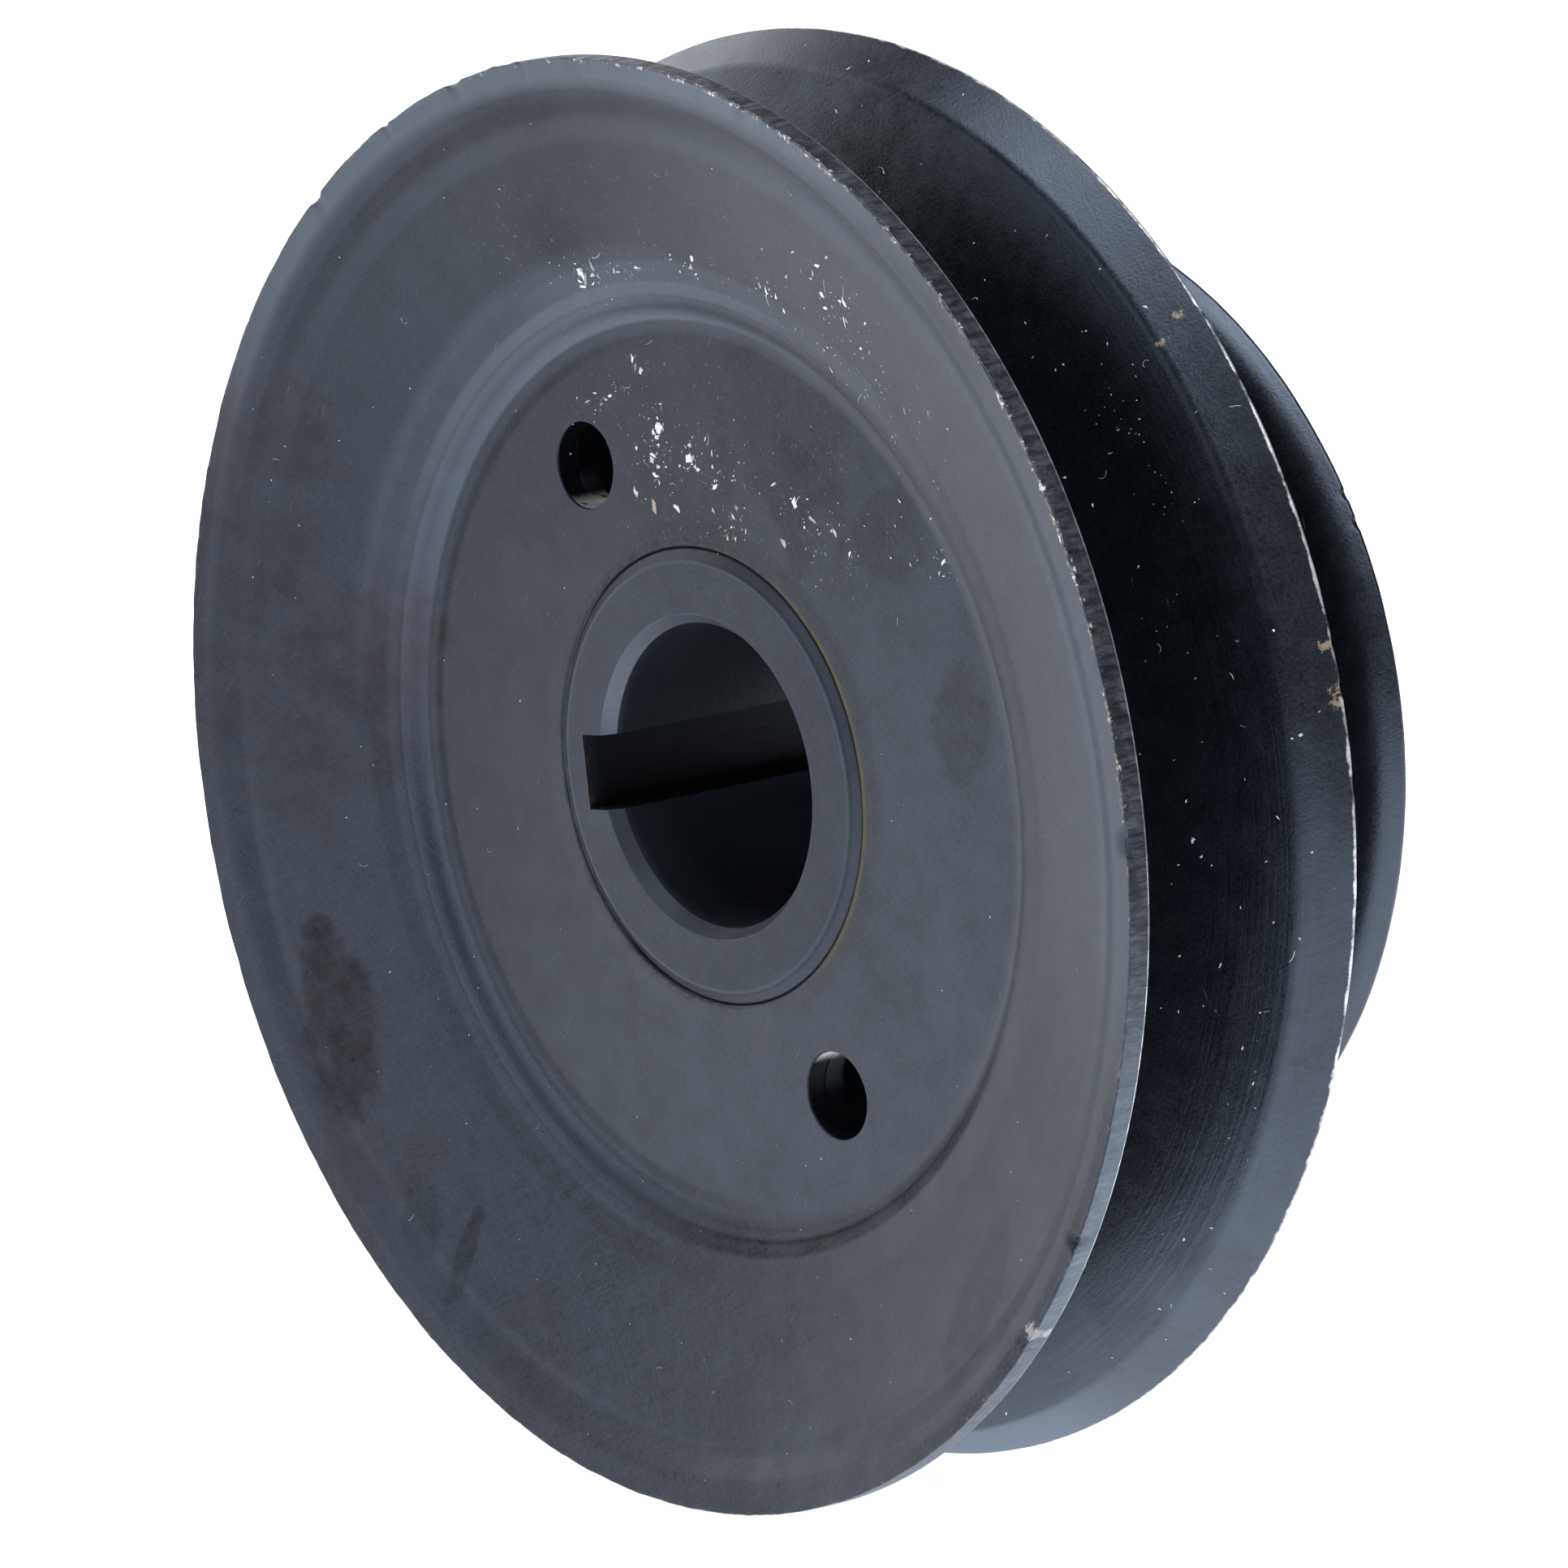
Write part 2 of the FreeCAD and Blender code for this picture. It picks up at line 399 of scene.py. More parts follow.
def flange(name, section, material, slot, node, shape, hole_edge=0.0):
    """A pressed flange: the section turned once round the bore, with rim damage and any holes."""
    maker = MeshMaker()
    angles = turn_angles()
    radius = np.repeat(section[:, :1], len(angles), axis=1)
    y = np.repeat(section[:, 1:], len(angles), axis=1)
    radius, y = shape(radius, y, np.broadcast_to(angles, radius.shape))
    grid = maker.add(polar(radius, y, angles))
    keep = np.ones(grid.shape, bool)
    blocks = []
    low_r, high_r = HOLE_BLOCK_R
    for hole_angle in HOLE_ANGLES if hole_edge else ():
        first = round((hole_angle - HOLE_BLOCK_HALF) / 360 * TURN_STEPS)
        last = round((hole_angle + HOLE_BLOCK_HALF) / 360 * TURN_STEPS)
        columns = np.arange(first, last + 1) % TURN_STEPS
        inside = np.flatnonzero((section[:, 0] > low_r - 1e-6) & (section[:, 0] < high_r + 1e-6))
        split = np.flatnonzero(np.diff(inside) > 1)[0] + 1
        rows_front, rows_back = inside[:split], inside[split:]
        for rows in (rows_front, rows_back):
            keep[np.ix_(rows[:-1], columns[:-1])] = False
        blocks.append((columns, rows_front, rows_back[::-1], hole_angle))
    maker.cells(grid, keep)
    for block in blocks:
        drill_block(maker, grid, section, *block, hole_edge)
    maker.finish(name, material, slot, node)


# -------- rim damage
# Nicks in the rims: angle, half width along the rim, depth
FRONT_NICKS = (
    (110.5, 1.1, 0.30),
    (132.1, 1.0, 0.28),
    (120.3, 0.5, 0.22),
    (7.6, 1.5, 0.45),
    (335.8, 0.8, 0.5),
    (325.3, 0.9, 0.3),
    (95.0, 1.2, 0.16),
    (101.5, 0.6, 0.2),
    (75.0, 0.9, 0.25),
    (58.0, 0.7, 0.2),
)
MIDDLE_NICKS = ((18.4, 0.5, 0.2), (15.1, 0.7, 0.25), (8.0, 0.9, 0.12))
REAR_NICKS = ((34.0, 0.5, 0.25), (30.7, 0.6, 0.25))
# The ridge that stands round the hub on the front web
RIDGE_R = 19.5
RIDGE_HEIGHT = 0.20


def front_shape(radius, y, angle):
    """A slightly wavy pressing: a ragged and nicked front corner, and a low ridge round the hub."""
    edge = np.exp(-((radius - FRONT_RIM_R) ** 2 + (y - FRONT_RIM_Y) ** 2) / 0.35 ** 2)
    burr = 0.05 * wander(angle, 240, smooth=False) + 0.05 * wander(angle, 90)
    burr = burr + 0.03 * wander(angle, 480, smooth=False)
    upper = np.clip(np.cos(angle - math.radians(62)), 0, 1)
    burr = burr * (0.6 + 0.9 * upper)
    for centre, half_width, depth in FRONT_NICKS:
        burr = burr - depth * dent(angle, centre, half_width, FRONT_RIM_R)
    radius = radius + edge * burr * 0.7
    y = y - edge * burr * 0.7
    shear = np.clip((radius - 59.4) / 0.3, 0, 1) * np.clip((FRONT_RIM_Y + 1.9 - y) / 0.5, 0, 1)
    radius = radius + shear * (0.02 * wander(angle, 700, smooth=False) + 0.02 * wander(angle, 300))
    y = y + 0.05 * np.sin(2 * angle + 0.7) * np.clip((radius - 42) / 18, 0, 1)
    raised = (y < FRONT_CONTACT_Y - 0.6 * SHEET) * np.exp(-((radius - RIDGE_R) / 0.55) ** 2)
    return radius, y - raised * (RIDGE_HEIGHT + 0.03 * wander(angle, 70))


def lean_forward(radius, angle, tilt):
    """How far a tilted rim stands towards -Y at a place, when its foremost point is tilt in front."""
    low, high = TILT_RADII
    outer = np.clip((radius - low) / (high - low), 0, 1)
    return tilt * outer * outer * (3 - 2 * outer) * np.cos(angle - math.radians(TILT_ANGLE))


def rim_shape(rim_r, rim_y, nicks, tilt=0.0):
    """The shape function of a formed flange: a slightly tilted rim with a few small nicks."""
    def shape(radius, y, angle):
        edge = np.exp(-((radius - rim_r) ** 2 + (y - rim_y) ** 2) / 0.4 ** 2)
        wear = 0.02 * wander(angle, 200, smooth=False) + 0.02 * wander(angle, 60)
        for centre, half_width, depth in nicks:
            wear = wear - depth * dent(angle, centre, half_width, rim_r)
        return radius + edge * wear, y + 0.6 * edge * wear - lean_forward(radius, angle, tilt)
    return shape


# -------- hub
# The burr on the edge of the bore's front chamfer
BURR_ANGLE = 107
BURR_R = 13.75
BURR_HEIGHT = 0.09


def bore_radius(offset):
    """Distance from the axis to the wall of the bore or keyway, at an angle from the keyway's middle."""
    ahead = np.cos(offset)
    floor = KEY_FLOOR / np.maximum(ahead, 0.1)
    wall = KEY_HALF / np.maximum(np.abs(np.sin(offset)), 1e-6)
    return np.where((ahead > 0) & (wall > BORE_R), np.minimum(floor, wall), BORE_R)


def hub_offsets():
    """Angles of the hub's mesh columns from the keyway's middle, with the keyway's corners among them."""
    corner = math.atan2(KEY_HALF, KEY_FLOOR)
    mouth = math.asin(KEY_HALF / BORE_R)
    side = np.concatenate((np.linspace(0, corner, 9), np.linspace(corner, mouth, 8)[1:]))
    plain = np.linspace(mouth, 2 * math.pi - mouth, 700)[1:-1]
    return np.concatenate((-side[:0:-1], side, plain))


def hub_end():
    """Half of the hub's section, from the middle of its outside round the front end to the bore's mouth."""
    corners = (
        (HUB_R, 0.0, 0),
        (HUB_R, -HUB_END_Y + HUB_CHAMFER_Y, HUB_EDGE_ROUND),
        (HUB_R - HUB_CHAMFER_R, -HUB_END_Y, HUB_EDGE_ROUND),
        (BORE_R + BORE_CHAMFER_R, -HUB_END_Y, BORE_EDGE_ROUND),
        (BORE_R, -HUB_END_Y + BORE_CHAMFER_Y, 0),
    )
    points = filled(rounded(corners), 0.8)
    return points[:np.flatnonzero(points[:, 0] < BORE_R + 1e-6)[0] + 1]


def make_hub(material):
    """The bored and keyed bar with its chamfered ends and a burr on the bore's front edge."""
    offsets = hub_offsets()
    angles = offsets + math.radians(KEY_ANGLE)
    inner = bore_radius(offsets)
    end = hub_end()
    radius = np.maximum(end[:, :1], inner)
    front = np.interp(-radius, -end[:, 0], end[:, 1])
    outside = end[:, 0] > HUB_R - 1.2
    front[outside] = end[outside, 1:]
    away = (np.degrees(angles) % 360 - BURR_ANGLE) / 4
    burr = np.exp(-away ** 2 - ((radius - BURR_R) / 0.2) ** 2)
    burred = front - BURR_HEIGHT * burr * (1 + 0.3 * wander(angles, 90))
    along_bore = np.linspace(0, 1, 40)[1:-1, None]
    bore_y = front[-1] * (1 - 2 * along_bore)
    bore_r = np.broadcast_to(inner, bore_y.shape)
    maker = MeshMaker()
    radius_rows = np.concatenate((radius, bore_r, radius[::-1][:-1]))
    y_rows = np.concatenate((burred, bore_y, -front[::-1][:-1]))
    maker.cells(maker.add(polar(radius_rows, y_rows, angles)), np.ones(radius_rows.shape, bool))
    hub = maker.finish("hub_bar", material, "hub_steel", "hub")
    hub.data.set_sharp_from_angle(angle=math.radians(38))


# -------- welds
WELD_RIPPLES = 62


def weld_bead(name, foot_y, material, node, start_deg):
    """A fillet weld round the hub, rippled, with a lump where it starts and a crater where it stops."""
    angles = turn_angles(1200)
    across = np.linspace(0, 1, 15)[:, None]
    away = (angles - math.radians(start_deg) + math.pi) % (2 * math.pi) - math.pi
    lump = np.exp(-(away * HUB_R / 2.2) ** 2)
    crater = np.exp(-((away * HUB_R - 3.0) / 1.0) ** 2)
    foot = WELD_LEG * (0.94 + 0.05 * wander(angles, 40) + 0.03 * wander(angles, 150))
    toe = WELD_LEG * (0.94 + 0.05 * wander(angles, 36) + 0.03 * wander(angles, 130))
    arch = np.sin(math.pi * across)
    phase = (angles * WELD_RIPPLES / (2 * math.pi) + 0.9 * arch + 0.2 * wander(angles, 30)) % 1
    ripple = 0.13 * np.sqrt(np.clip(1 - (1 - phase) ** 2, 0, 1)) * arch
    crown = (0.42 + 0.25 * lump - 0.45 * crater) * arch + ripple
    radius = HUB_R + foot * (1 - across) + crown * math.sqrt(0.5)
    y = foot_y + toe * across + crown * math.sqrt(0.5)
    radius = np.concatenate((radius, np.full((1, len(angles)), HUB_R)))
    y = np.concatenate((y, np.full((1, len(angles)), foot_y)))
    maker = MeshMaker()
    maker.cells(maker.add(polar(radius, y, angles)), np.ones(radius.shape, bool))
    bead = maker.finish(name, material, "coated_weld", node)
    bead.data.set_sharp_from_angle(angle=math.radians(50))


# -------- paint flakes, dust and lint on the surfaces
class Debris:
    """Small closed shells lying on a face that looks towards -Y."""

    def __init__(self, section, tilt=0.0):
        """The section's points must run outwards along the face. Tilt is that of the flange's rim."""
        self.tilt = tilt
        self.radius = section[:, 0]
        self.y = section[:, 1]
        self.points = []
        self.faces = []

    def on_face(self, radius, angle_deg, side, out, lift):
        """A point moved sideways and outwards (mm) from a place on the face, and lifted off it."""
        angle = math.radians(angle_deg)
        x = radius * math.cos(angle) + out * math.cos(angle) - side * math.sin(angle)
        z = radius * math.sin(angle) + out * math.sin(angle) + side * math.cos(angle)
        place_r = math.hypot(x, z)
        flat_y = np.interp(place_r, self.radius, self.y)
        return (x, flat_y - lift - lean_forward(place_r, math.atan2(z, x), self.tilt), z)

    def shell(self, rings):
        """Joins rings of equal count into one closed shell, with a flat cap at each end."""
        first = len(self.points)
        count = len(rings[0])
        for ring in rings:
            self.points.extend(ring)
        for row in range(len(rings) - 1):
            low = first + row * count
            high = low + count
            for index in range(count):
                following = (index + 1) % count
                self.faces.append((low + index, low + following, high + following, high + index))
        self.faces.append(tuple(range(first + count - 1, first - 1, -1)))
        last = first + (len(rings) - 1) * count
        self.faces.append(tuple(range(last, last + count)))

    def flake(self, radius, angle_deg, size, stretch, height):
        """An angular chip, longer one way, with a bevelled top."""
        corners = int(rng.integers(4, 7))
        heading = rng.uniform(0, math.pi)
        turns = (np.arange(corners) + rng.uniform(-0.4, 0.4, corners)) * 2 * math.pi / corners
        reach = size * rng.uniform(0.35, 1.3, corners)
        rings = []
        for share, lift in ((1.0, -0.05), (1.0, 0.5 * height), (0.78, height)):
            ring = []
            for turn, length in zip(turns, reach * share):
                long_way = length * math.cos(turn) * stretch
                short_way = length * math.sin(turn) / stretch
                side = long_way * math.cos(heading) - short_way * math.sin(heading)
                out = long_way * math.sin(heading) + short_way * math.cos(heading)
                ring.append(self.on_face(radius, angle_deg, side, out, lift))
            rings.append(ring)
        self.shell(rings)

    def fibre(self, radius, angle_deg, length, thickness, bend=1.0):
        """A hair-thin curved thread lying on the face."""
        heading = rng.uniform(0, 2 * math.pi)
        curl = rng.uniform(-1, 1) * bend / length
        side, out = 0.0, 0.0
        steps = 8
        rings = []
        for step in range(steps + 1):
            half = thickness / 2 * (1 if 0 < step < steps else 0.4)
            ring = []
            for shift, lift in ((-half, 0.01), (0.0, 0.01 + 1.6 * half), (half, 0.01), (0.0, -0.02)):
                place_side = side - math.sin(heading) * shift
                place_out = out + math.cos(heading) * shift
                ring.append(self.on_face(radius, angle_deg, place_side, place_out, lift))
            rings.append(ring)
            side += math.cos(heading) * length / steps
            out += math.sin(heading) * length / steps
            heading += curl * length / steps * 2
        self.shell(rings)

    def finish(self, name, material, slot):
        """Makes one object, in metres, of all the shells."""
        mesh = bpy.data.meshes.new(name)
        mesh.from_pydata([tuple(value * MM for value in point) for point in self.points], [], self.faces)
        clean(mesh, smooth=False)
        place(mesh, name, material, slot)


# Clusters of chips on the front face: angle, radius, spread along and across (mm), how many, largest size
CHIP_CLUSTERS = (
    (106.5, 42.4, 1.6, 0.7, 12, 0.42),
    (98.7, 42.2, 1.4, 0.3, 5, 0.26),
    (88.5, 42.8, 1.6, 0.5, 6, 0.34),
    (74.5, 43.6, 1.8, 0.9, 8, 0.32),
    (66.0, 47.8, 2.2, 1.0, 8, 0.42),
    (61.5, 46.9, 2.0, 1.0, 7, 0.38),
    (63.0, 42.0, 2.4, 0.9, 8, 0.26),
    (58.5, 44.5, 1.8, 1.2, 6, 0.30),
    (49.0, 44.0, 4.0, 2.0, 8, 0.20),
    (104.4, 34.8, 0.8, 0.5, 4, 0.36),
    (114.0, 32.6, 1.8, 0.6, 9, 0.34),
    (103.6, 29.2, 1.2, 1.0, 11, 0.40),
    (105.5, 26.6, 1.2, 1.2, 12, 0.34),
    (96.5, 26.0, 1.6, 0.9, 9, 0.46),
    (86.0, 25.6, 2.4, 1.6, 13, 0.28),
    (66.3, 26.9, 1.6, 0.5, 6, 0.46),
    (82.4, 21.4, 0.9, 0.7, 9, 0.34),
    (53.7, 28.0, 1.4, 0.5, 6, 0.34),
    (57.0, 25.0, 2.0, 0.8, 6, 0.26),
    (38.9, 36.0, 0.9, 0.6, 4, 0.26),
    (44.0, 33.0, 3.0, 2.0, 6, 0.18),
)
# The biggest chips: angle, radius, size, how much longer one way
BIG_CHIPS = (
    (107.3, 42.1, 0.42, 1.9),
    (107.5, 22.7, 0.66, 1.35),
    (112.5, 24.3, 0.42, 1.2),
    (100.4, 22.3, 0.34, 1.3),
    (88.2, 24.4, 0.38, 1.2),
    (88.4, 22.4, 0.36, 1.2),
    (66.4, 26.9, 0.48, 1.1),
    (95.3, 26.4, 0.50, 1.2),
    (102.3, 29.0, 0.46, 1.1),
    (66.0, 47.0, 0.40, 1.1),
    (62.5, 48.3, 0.42, 1.5),
    (66.2, 23.2, 0.40, 1.2),
)


# Specks of dust in the groove: angle, radius, spread (mm), how many
SPECK_CLUSTERS = ((41, 52, 1.2, 22), (33, 53, 1.0, 12), (23, 51, 1.5, 8))


def random_radius(low, high):
    """A radius at random, spread evenly over the area of a ring."""
    return math.sqrt(rng.uniform(low ** 2, high ** 2))


def front_debris(material):
    """Paint chips in clusters above the hub, and dust and lint all over the front face."""
    front = Debris(rounded_face(FRONT_FACE, FRONT_RIM_Y))
    for angle, radius, size, stretch in BIG_CHIPS:
        front.flake(radius, angle, size, stretch, 0.07)
    for angle, radius, along, across, count, largest in CHIP_CLUSTERS:
        for _ in range(count):
            place_r = radius + rng.normal(0, across)
            place_a = angle + math.degrees(rng.normal(0, along) / radius)
            size = largest * rng.uniform(0.25, 1.0) ** 1.6
            front.flake(place_r, place_a, size, rng.uniform(1.0, 1.9), 0.05)
        for _ in range(2 * count):
            place_r = radius + rng.normal(0, 1.4 * across)
            place_a = angle + math.degrees(rng.normal(0, 1.4 * along) / radius)
            front.flake(place_r, place_a, rng.uniform(0.04, 0.11), rng.uniform(1.0, 1.8), 0.03)
        for _ in range(count // 4):
            place_a = angle + math.degrees(rng.normal(0, 1.2 * along) / radius)
            front.fibre(radius + rng.normal(0, 1.2 * across), place_a, rng.uniform(0.6, 1.5), 0.04)
    for _ in range(150):
        front.flake(random_radius(20.5, 57.5), rng.uniform(0, 360), rng.uniform(0.035, 0.09),
                    rng.uniform(1.0, 1.6), 0.04)
    for _ in range(16):
        front.fibre(random_radius(21.5, 56), rng.uniform(0, 360), rng.uniform(0.4, 1.0), 0.03, 2.0)
    front.finish("front_face_chips", material, "coated_sheet")


def groove_debris(material):
    """Dust and lint on the far side of the large groove."""
    groove = Debris(rounded_face(MIDDLE_BELT_SIDE, FRONT_CONTACT_Y), MIDDLE_RIM_TILT)
    for _ in range(260):
        groove.flake(rng.uniform(44, 59.6), rng.uniform(0, 360), rng.uniform(0.05, 0.16),
                     rng.uniform(1.0, 1.8), 0.05)
    for angle, radius, spread, count in SPECK_CLUSTERS:
        for _ in range(count):
            place_a = angle + math.degrees(rng.normal(0, 1.5 * spread) / radius)
            groove.flake(radius + rng.normal(0, spread), place_a, rng.uniform(0.03, 0.09),
                         rng.uniform(1.0, 1.9), 0.03)
    for _ in range(30):
        groove.fibre(rng.uniform(46, 59.4), rng.uniform(0, 360), rng.uniform(0.4, 1.1), 0.035, 2.0)
    groove.finish("groove_dust", material, "coated_sheet_dark")


def crevice_paint(material):
    """Coating that bridges the crevice round the hub on its left, thinning out towards both ends."""
    bridge = Debris(rounded_face(FRONT_FACE, FRONT_RIM_Y))
    start_deg, end_deg, count = 134.0, 242.0, 260
    unevenness = wander(turn_angles(count), 40)
    rings = []
    for index, angle_deg in enumerate(np.linspace(start_deg, end_deg, count)):
        fullness = math.sin(math.pi * (index + 0.5) / count) ** 0.35
        half = 0.26 * fullness * (0.92 + 0.08 * unevenness[index])
        top = 0.05 * fullness + 0.015 * unevenness[index]
        rings.append([bridge.on_face(HUB_R + 0.14, angle_deg, 0.0, out, lift)
                      for out, lift in ((-half, 0.01), (0.0, top), (half, 0.01), (0.0, -0.40))])
    bridge.shell(rings)
    bridge.finish("crevice_paint", material, "coated_sheet")


# -------- materials
SLATE = (0.0084, 0.0100, 0.0146, 1)
SLATE_LIGHT = (0.0168, 0.0194, 0.0268, 1)
DARK_SLATE = (0.0056, 0.0056, 0.0074, 1)
INK = (0.0015, 0.0018, 0.0028, 1)
BROWN = (0.0105, 0.0082, 0.0098, 1)
SMUDGE = (0.0042, 0.0046, 0.0058, 1)
OLIVE = (0.0900, 0.0730, 0.0260, 1)
OLIVE_GRIME = (0.0125, 0.0105, 0.0080, 1)
BROWN_GRIME = (0.022, 0.018, 0.012, 1)
RUSTY_GRIME = (0.026, 0.017, 0.012, 1)
KEYWAY_BROWN_SHADE = (0.0085, 0.0075, 0.0078, 1)
RUST = (0.1500, 0.0550, 0.0180, 1)
# Lighter grey of the chamfers' thin coat, also a painted highlight
THIN_COAT_HIGHLIGHT = (0.13, 0.15, 0.18, 1)
SHEARED_STEEL = (0.078, 0.086, 0.100, 1)
BARE_STEEL = (0.70, 0.72, 0.76, 1)
# Bare metal painted near-white, a painted highlight on the hole walls
LIT_BARE_METAL = (0.85, 0.86, 0.90, 1)
DARK_WELD = (0.16, 0.16, 0.17, 1)
LIGHT_WELD = (0.42, 0.42, 0.44, 1)
GREY_PAINT = (0.24, 0.26, 0.30, 1)
WHITE_PAINT = (0.80, 0.84, 0.90, 1)
CREAM = (0.58, 0.52, 0.45, 1)
TAN = (0.36, 0.28, 0.20, 1)
# Tints of the gloss
COOL_SHEEN = (0.61, 0.77, 0.99, 1)
BLUE_SHEEN = (0.62, 0.77, 0.985, 1)
BROWN_SHEEN = (0.78, 0.80, 0.98, 1)
PLAIN_SHEEN = (1, 1, 1, 1)


class Value:
    """An output in a node tree. Sums and products of values add the nodes that work them out."""

    def __init__(self, graph, socket):
        self.graph = graph
        self.socket = socket

    def __add__(self, other):
        return self.graph.math("ADD", self, other)

    def __radd__(self, other):
        return self.graph.math("ADD", other, self)

    def __sub__(self, other):
        return self.graph.math("SUBTRACT", self, other)

    def __mul__(self, other):
        return self.graph.math("MULTIPLY", self, other)


class Graph:
    """Short calls for one material's node tree. Values and plain numbers are both taken as inputs."""

    def __init__(self, name):
        self.material = bpy.data.materials.new(name)
        self.material.use_nodes = True
        self.tree = self.material.node_tree
        self.shader = self.tree.nodes["Principled BSDF"]
        metres = self.node("TexCoord", output=3)
        self.point = self.node("VectorMath", {0: metres, 3: 1 / MM}, operation="SCALE")
        self.flat = self.node("VectorMath", {0: self.point, 1: (1, 0, 1)}, operation="MULTIPLY")
        self.x, self.y, self.z = [self.node("SeparateXYZ", {0: self.point}, output=axis)
                                  for axis in range(3)]
        self.radius = self.node("VectorMath", {0: self.flat}, output=1, operation="LENGTH")
        self.angle = self.math("ARCTAN2", self.z, self.x)

    def node(self, kind, inputs=(), output=0, **settings):
        """Adds a shader node, sets its properties, feeds its inputs and returns its chosen output."""
        made = self.tree.nodes.new("ShaderNode" + kind)
        for key, value in settings.items():
            setattr(made, key, value)
        for key, value in dict(inputs).items():
            self.feed(made.inputs[key], value)
        return Value(self, made.outputs[output])

    def feed(self, socket, value):
        """Links a socket to an input, or sets the input to a plain number or colour."""
        if isinstance(value, Value):
            self.tree.links.new(value.socket, socket)
        else:
            socket.default_value = value

    def math(self, operation, a, b=0.0, c=0.0, clamp=False):
        """One step of arithmetic, by Blender's name for it."""
        return self.node("Math", {0: a, 1: b, 2: c}, operation=operation, use_clamp=clamp)

    def most(self, *values):
        """The largest of the values."""
        result = values[0]
        for value in values[1:]:
            result = self.math("MAXIMUM", result, value)
        return result

    def swing(self, value, amount):
        """A 0 to 1 value as a swing round 0, from minus to plus the amount."""
        return self.math("MULTIPLY_ADD", value, 2 * amount, -amount)

    def between(self, value, low, high):
        """0 below low, 1 above high. With low above high it falls instead."""
        return self.node("MapRange", {"Value": value, "From Min": low, "From Max": high},
                         interpolation_type="SMOOTHSTEP")

    def band(self, value, low, high, soft):
        """1 from low to high, fading out over soft on either side."""
        return self.between(value, low - soft, low) * self.between(value, high + soft, high)

    def noise(self, scale, detail=4.0, roughness=0.55, vector=None):
        """Noise from 0 to 1, mostly near 0.5. Scale is how many swings it makes in a millimetre."""
        return self.node("TexNoise", {
            "Vector": self.point if vector is None else vector, "Scale": scale, "Detail": detail,
            "Roughness": roughness})

    def vivid(self, value):
        """A noise value, which keeps close to 0.5, spread over the whole of 0 to 1."""
        return self.between(value, 0.34, 0.66)

    def streaks(self, heading_deg, scale, stretch, detail=2.0):
        """Noise drawn out into straight lines across the faces, at a heading from +X towards +Z."""
        rotation = (0, math.radians(heading_deg), 0)
        turned = self.node("Mapping", {"Vector": self.flat, "Rotation": rotation})
        drawn = self.node("VectorMath", {0: turned, 1: (1 / stretch, 1, 1)}, operation="MULTIPLY")
        return self.noise(scale, detail, 0.6, drawn)

    def round_the_bore(self, along=1.0, across=1.0):
        """A vector of distance round the circle, radius and Y, for marks that follow or cross the turning."""
        around = self.angle * (40.0 * along)
        return self.node("CombineXYZ", {0: around, 1: self.radius * across, 2: self.y * across})

    def sector(self, centre_deg, inner_deg, outer_deg):
        """1 within inner_deg of the centre angle, 0 beyond outer_deg."""
        away = self.math("COSINE", self.math("SUBTRACT", self.angle, math.radians(centre_deg)))
        return self.between(away, math.cos(math.radians(outer_deg)), math.cos(math.radians(inner_deg)))

    def spot(self, angle_deg, radius, size, warp=0.0, soft=0.5):
        """A blotch round a place on the face. Warp, a swing in millimetres, makes its outline wander."""
        turn = math.radians(angle_deg)
        centre = (radius * math.cos(turn), 0, radius * math.sin(turn))
        away = self.node("VectorMath", {0: self.flat, 1: centre}, output=1, operation="DISTANCE")
        return self.between(away + warp, size, size * (1 - soft))

    def oval(self, angle_deg, radius, heading_deg, half_length, half_width, warp=0.0, soft=0.3):
        """A spot drawn out along a heading from +X towards +Z. Warp is a swing as a share of its reach."""
        turn = math.radians(angle_deg)
        heading = math.radians(heading_deg)
        centre = (radius * math.cos(turn), 0, radius * math.sin(turn))
        away = self.node("VectorMath", {0: self.flat, 1: centre}, operation="SUBTRACT")
        lengthwise = (math.cos(heading) / half_length, 0, math.sin(heading) / half_length)
        crosswise = (-math.sin(heading) / half_width, 0, math.cos(heading) / half_width)
        along = self.node("VectorMath", {0: away, 1: lengthwise}, output=1, operation="DOT_PRODUCT")
        across = self.node("VectorMath", {0: away, 1: crosswise}, output=1, operation="DOT_PRODUCT")
        reach = self.math("SQRT", along * along + across * across)
        return self.between(reach + warp, 1.0, 1.0 - soft)

    def blend(self, amount, a, b):
        """Colour a where amount is 0, colour b where it is 1."""
        return self.node("Mix", {0: amount, 6: a, 7: b}, output=2, data_type="RGBA")

    def bump(self, height, depth, strength=1.0, normal=None):
        """A bump normal for a 0 to 1 height that is depth millimetres high."""
        inputs = {"Strength": strength, "Distance": depth * MM, "Height": height}
        if normal is not None:
            inputs["Normal"] = normal
        return self.node("Bump", inputs)

    def shade(self, colour, roughness, gloss, normal, metallic=0.0, sheen=COOL_SHEEN):
        """Feeds the shader and returns the finished material. Gloss is its specular level, sheen its tint."""
        self.feed(self.shader.inputs["Base Color"], colour)
        self.feed(self.shader.inputs["Roughness"], roughness)
        self.feed(self.shader.inputs["Specular IOR Level"], gloss)
        self.feed(self.shader.inputs["Specular Tint"], sheen)
        self.feed(self.shader.inputs["Metallic"], metallic)
        self.feed(self.shader.inputs["Normal"], normal)
        return self.material


# Sanding marks on the coat: heading, scale, stretch, share
SANDING = ((33, 3.6, 22, 0.42), (-41, 3.2, 26, 0.33), (74, 2.8, 18, 0.25))


def sanded(g):
    """Criss-cross sanding marks as a 0 to 1 value."""
    return sum(g.vivid(g.streaks(heading, scale, stretch)) * share for heading, scale, stretch,
               share in SANDING)
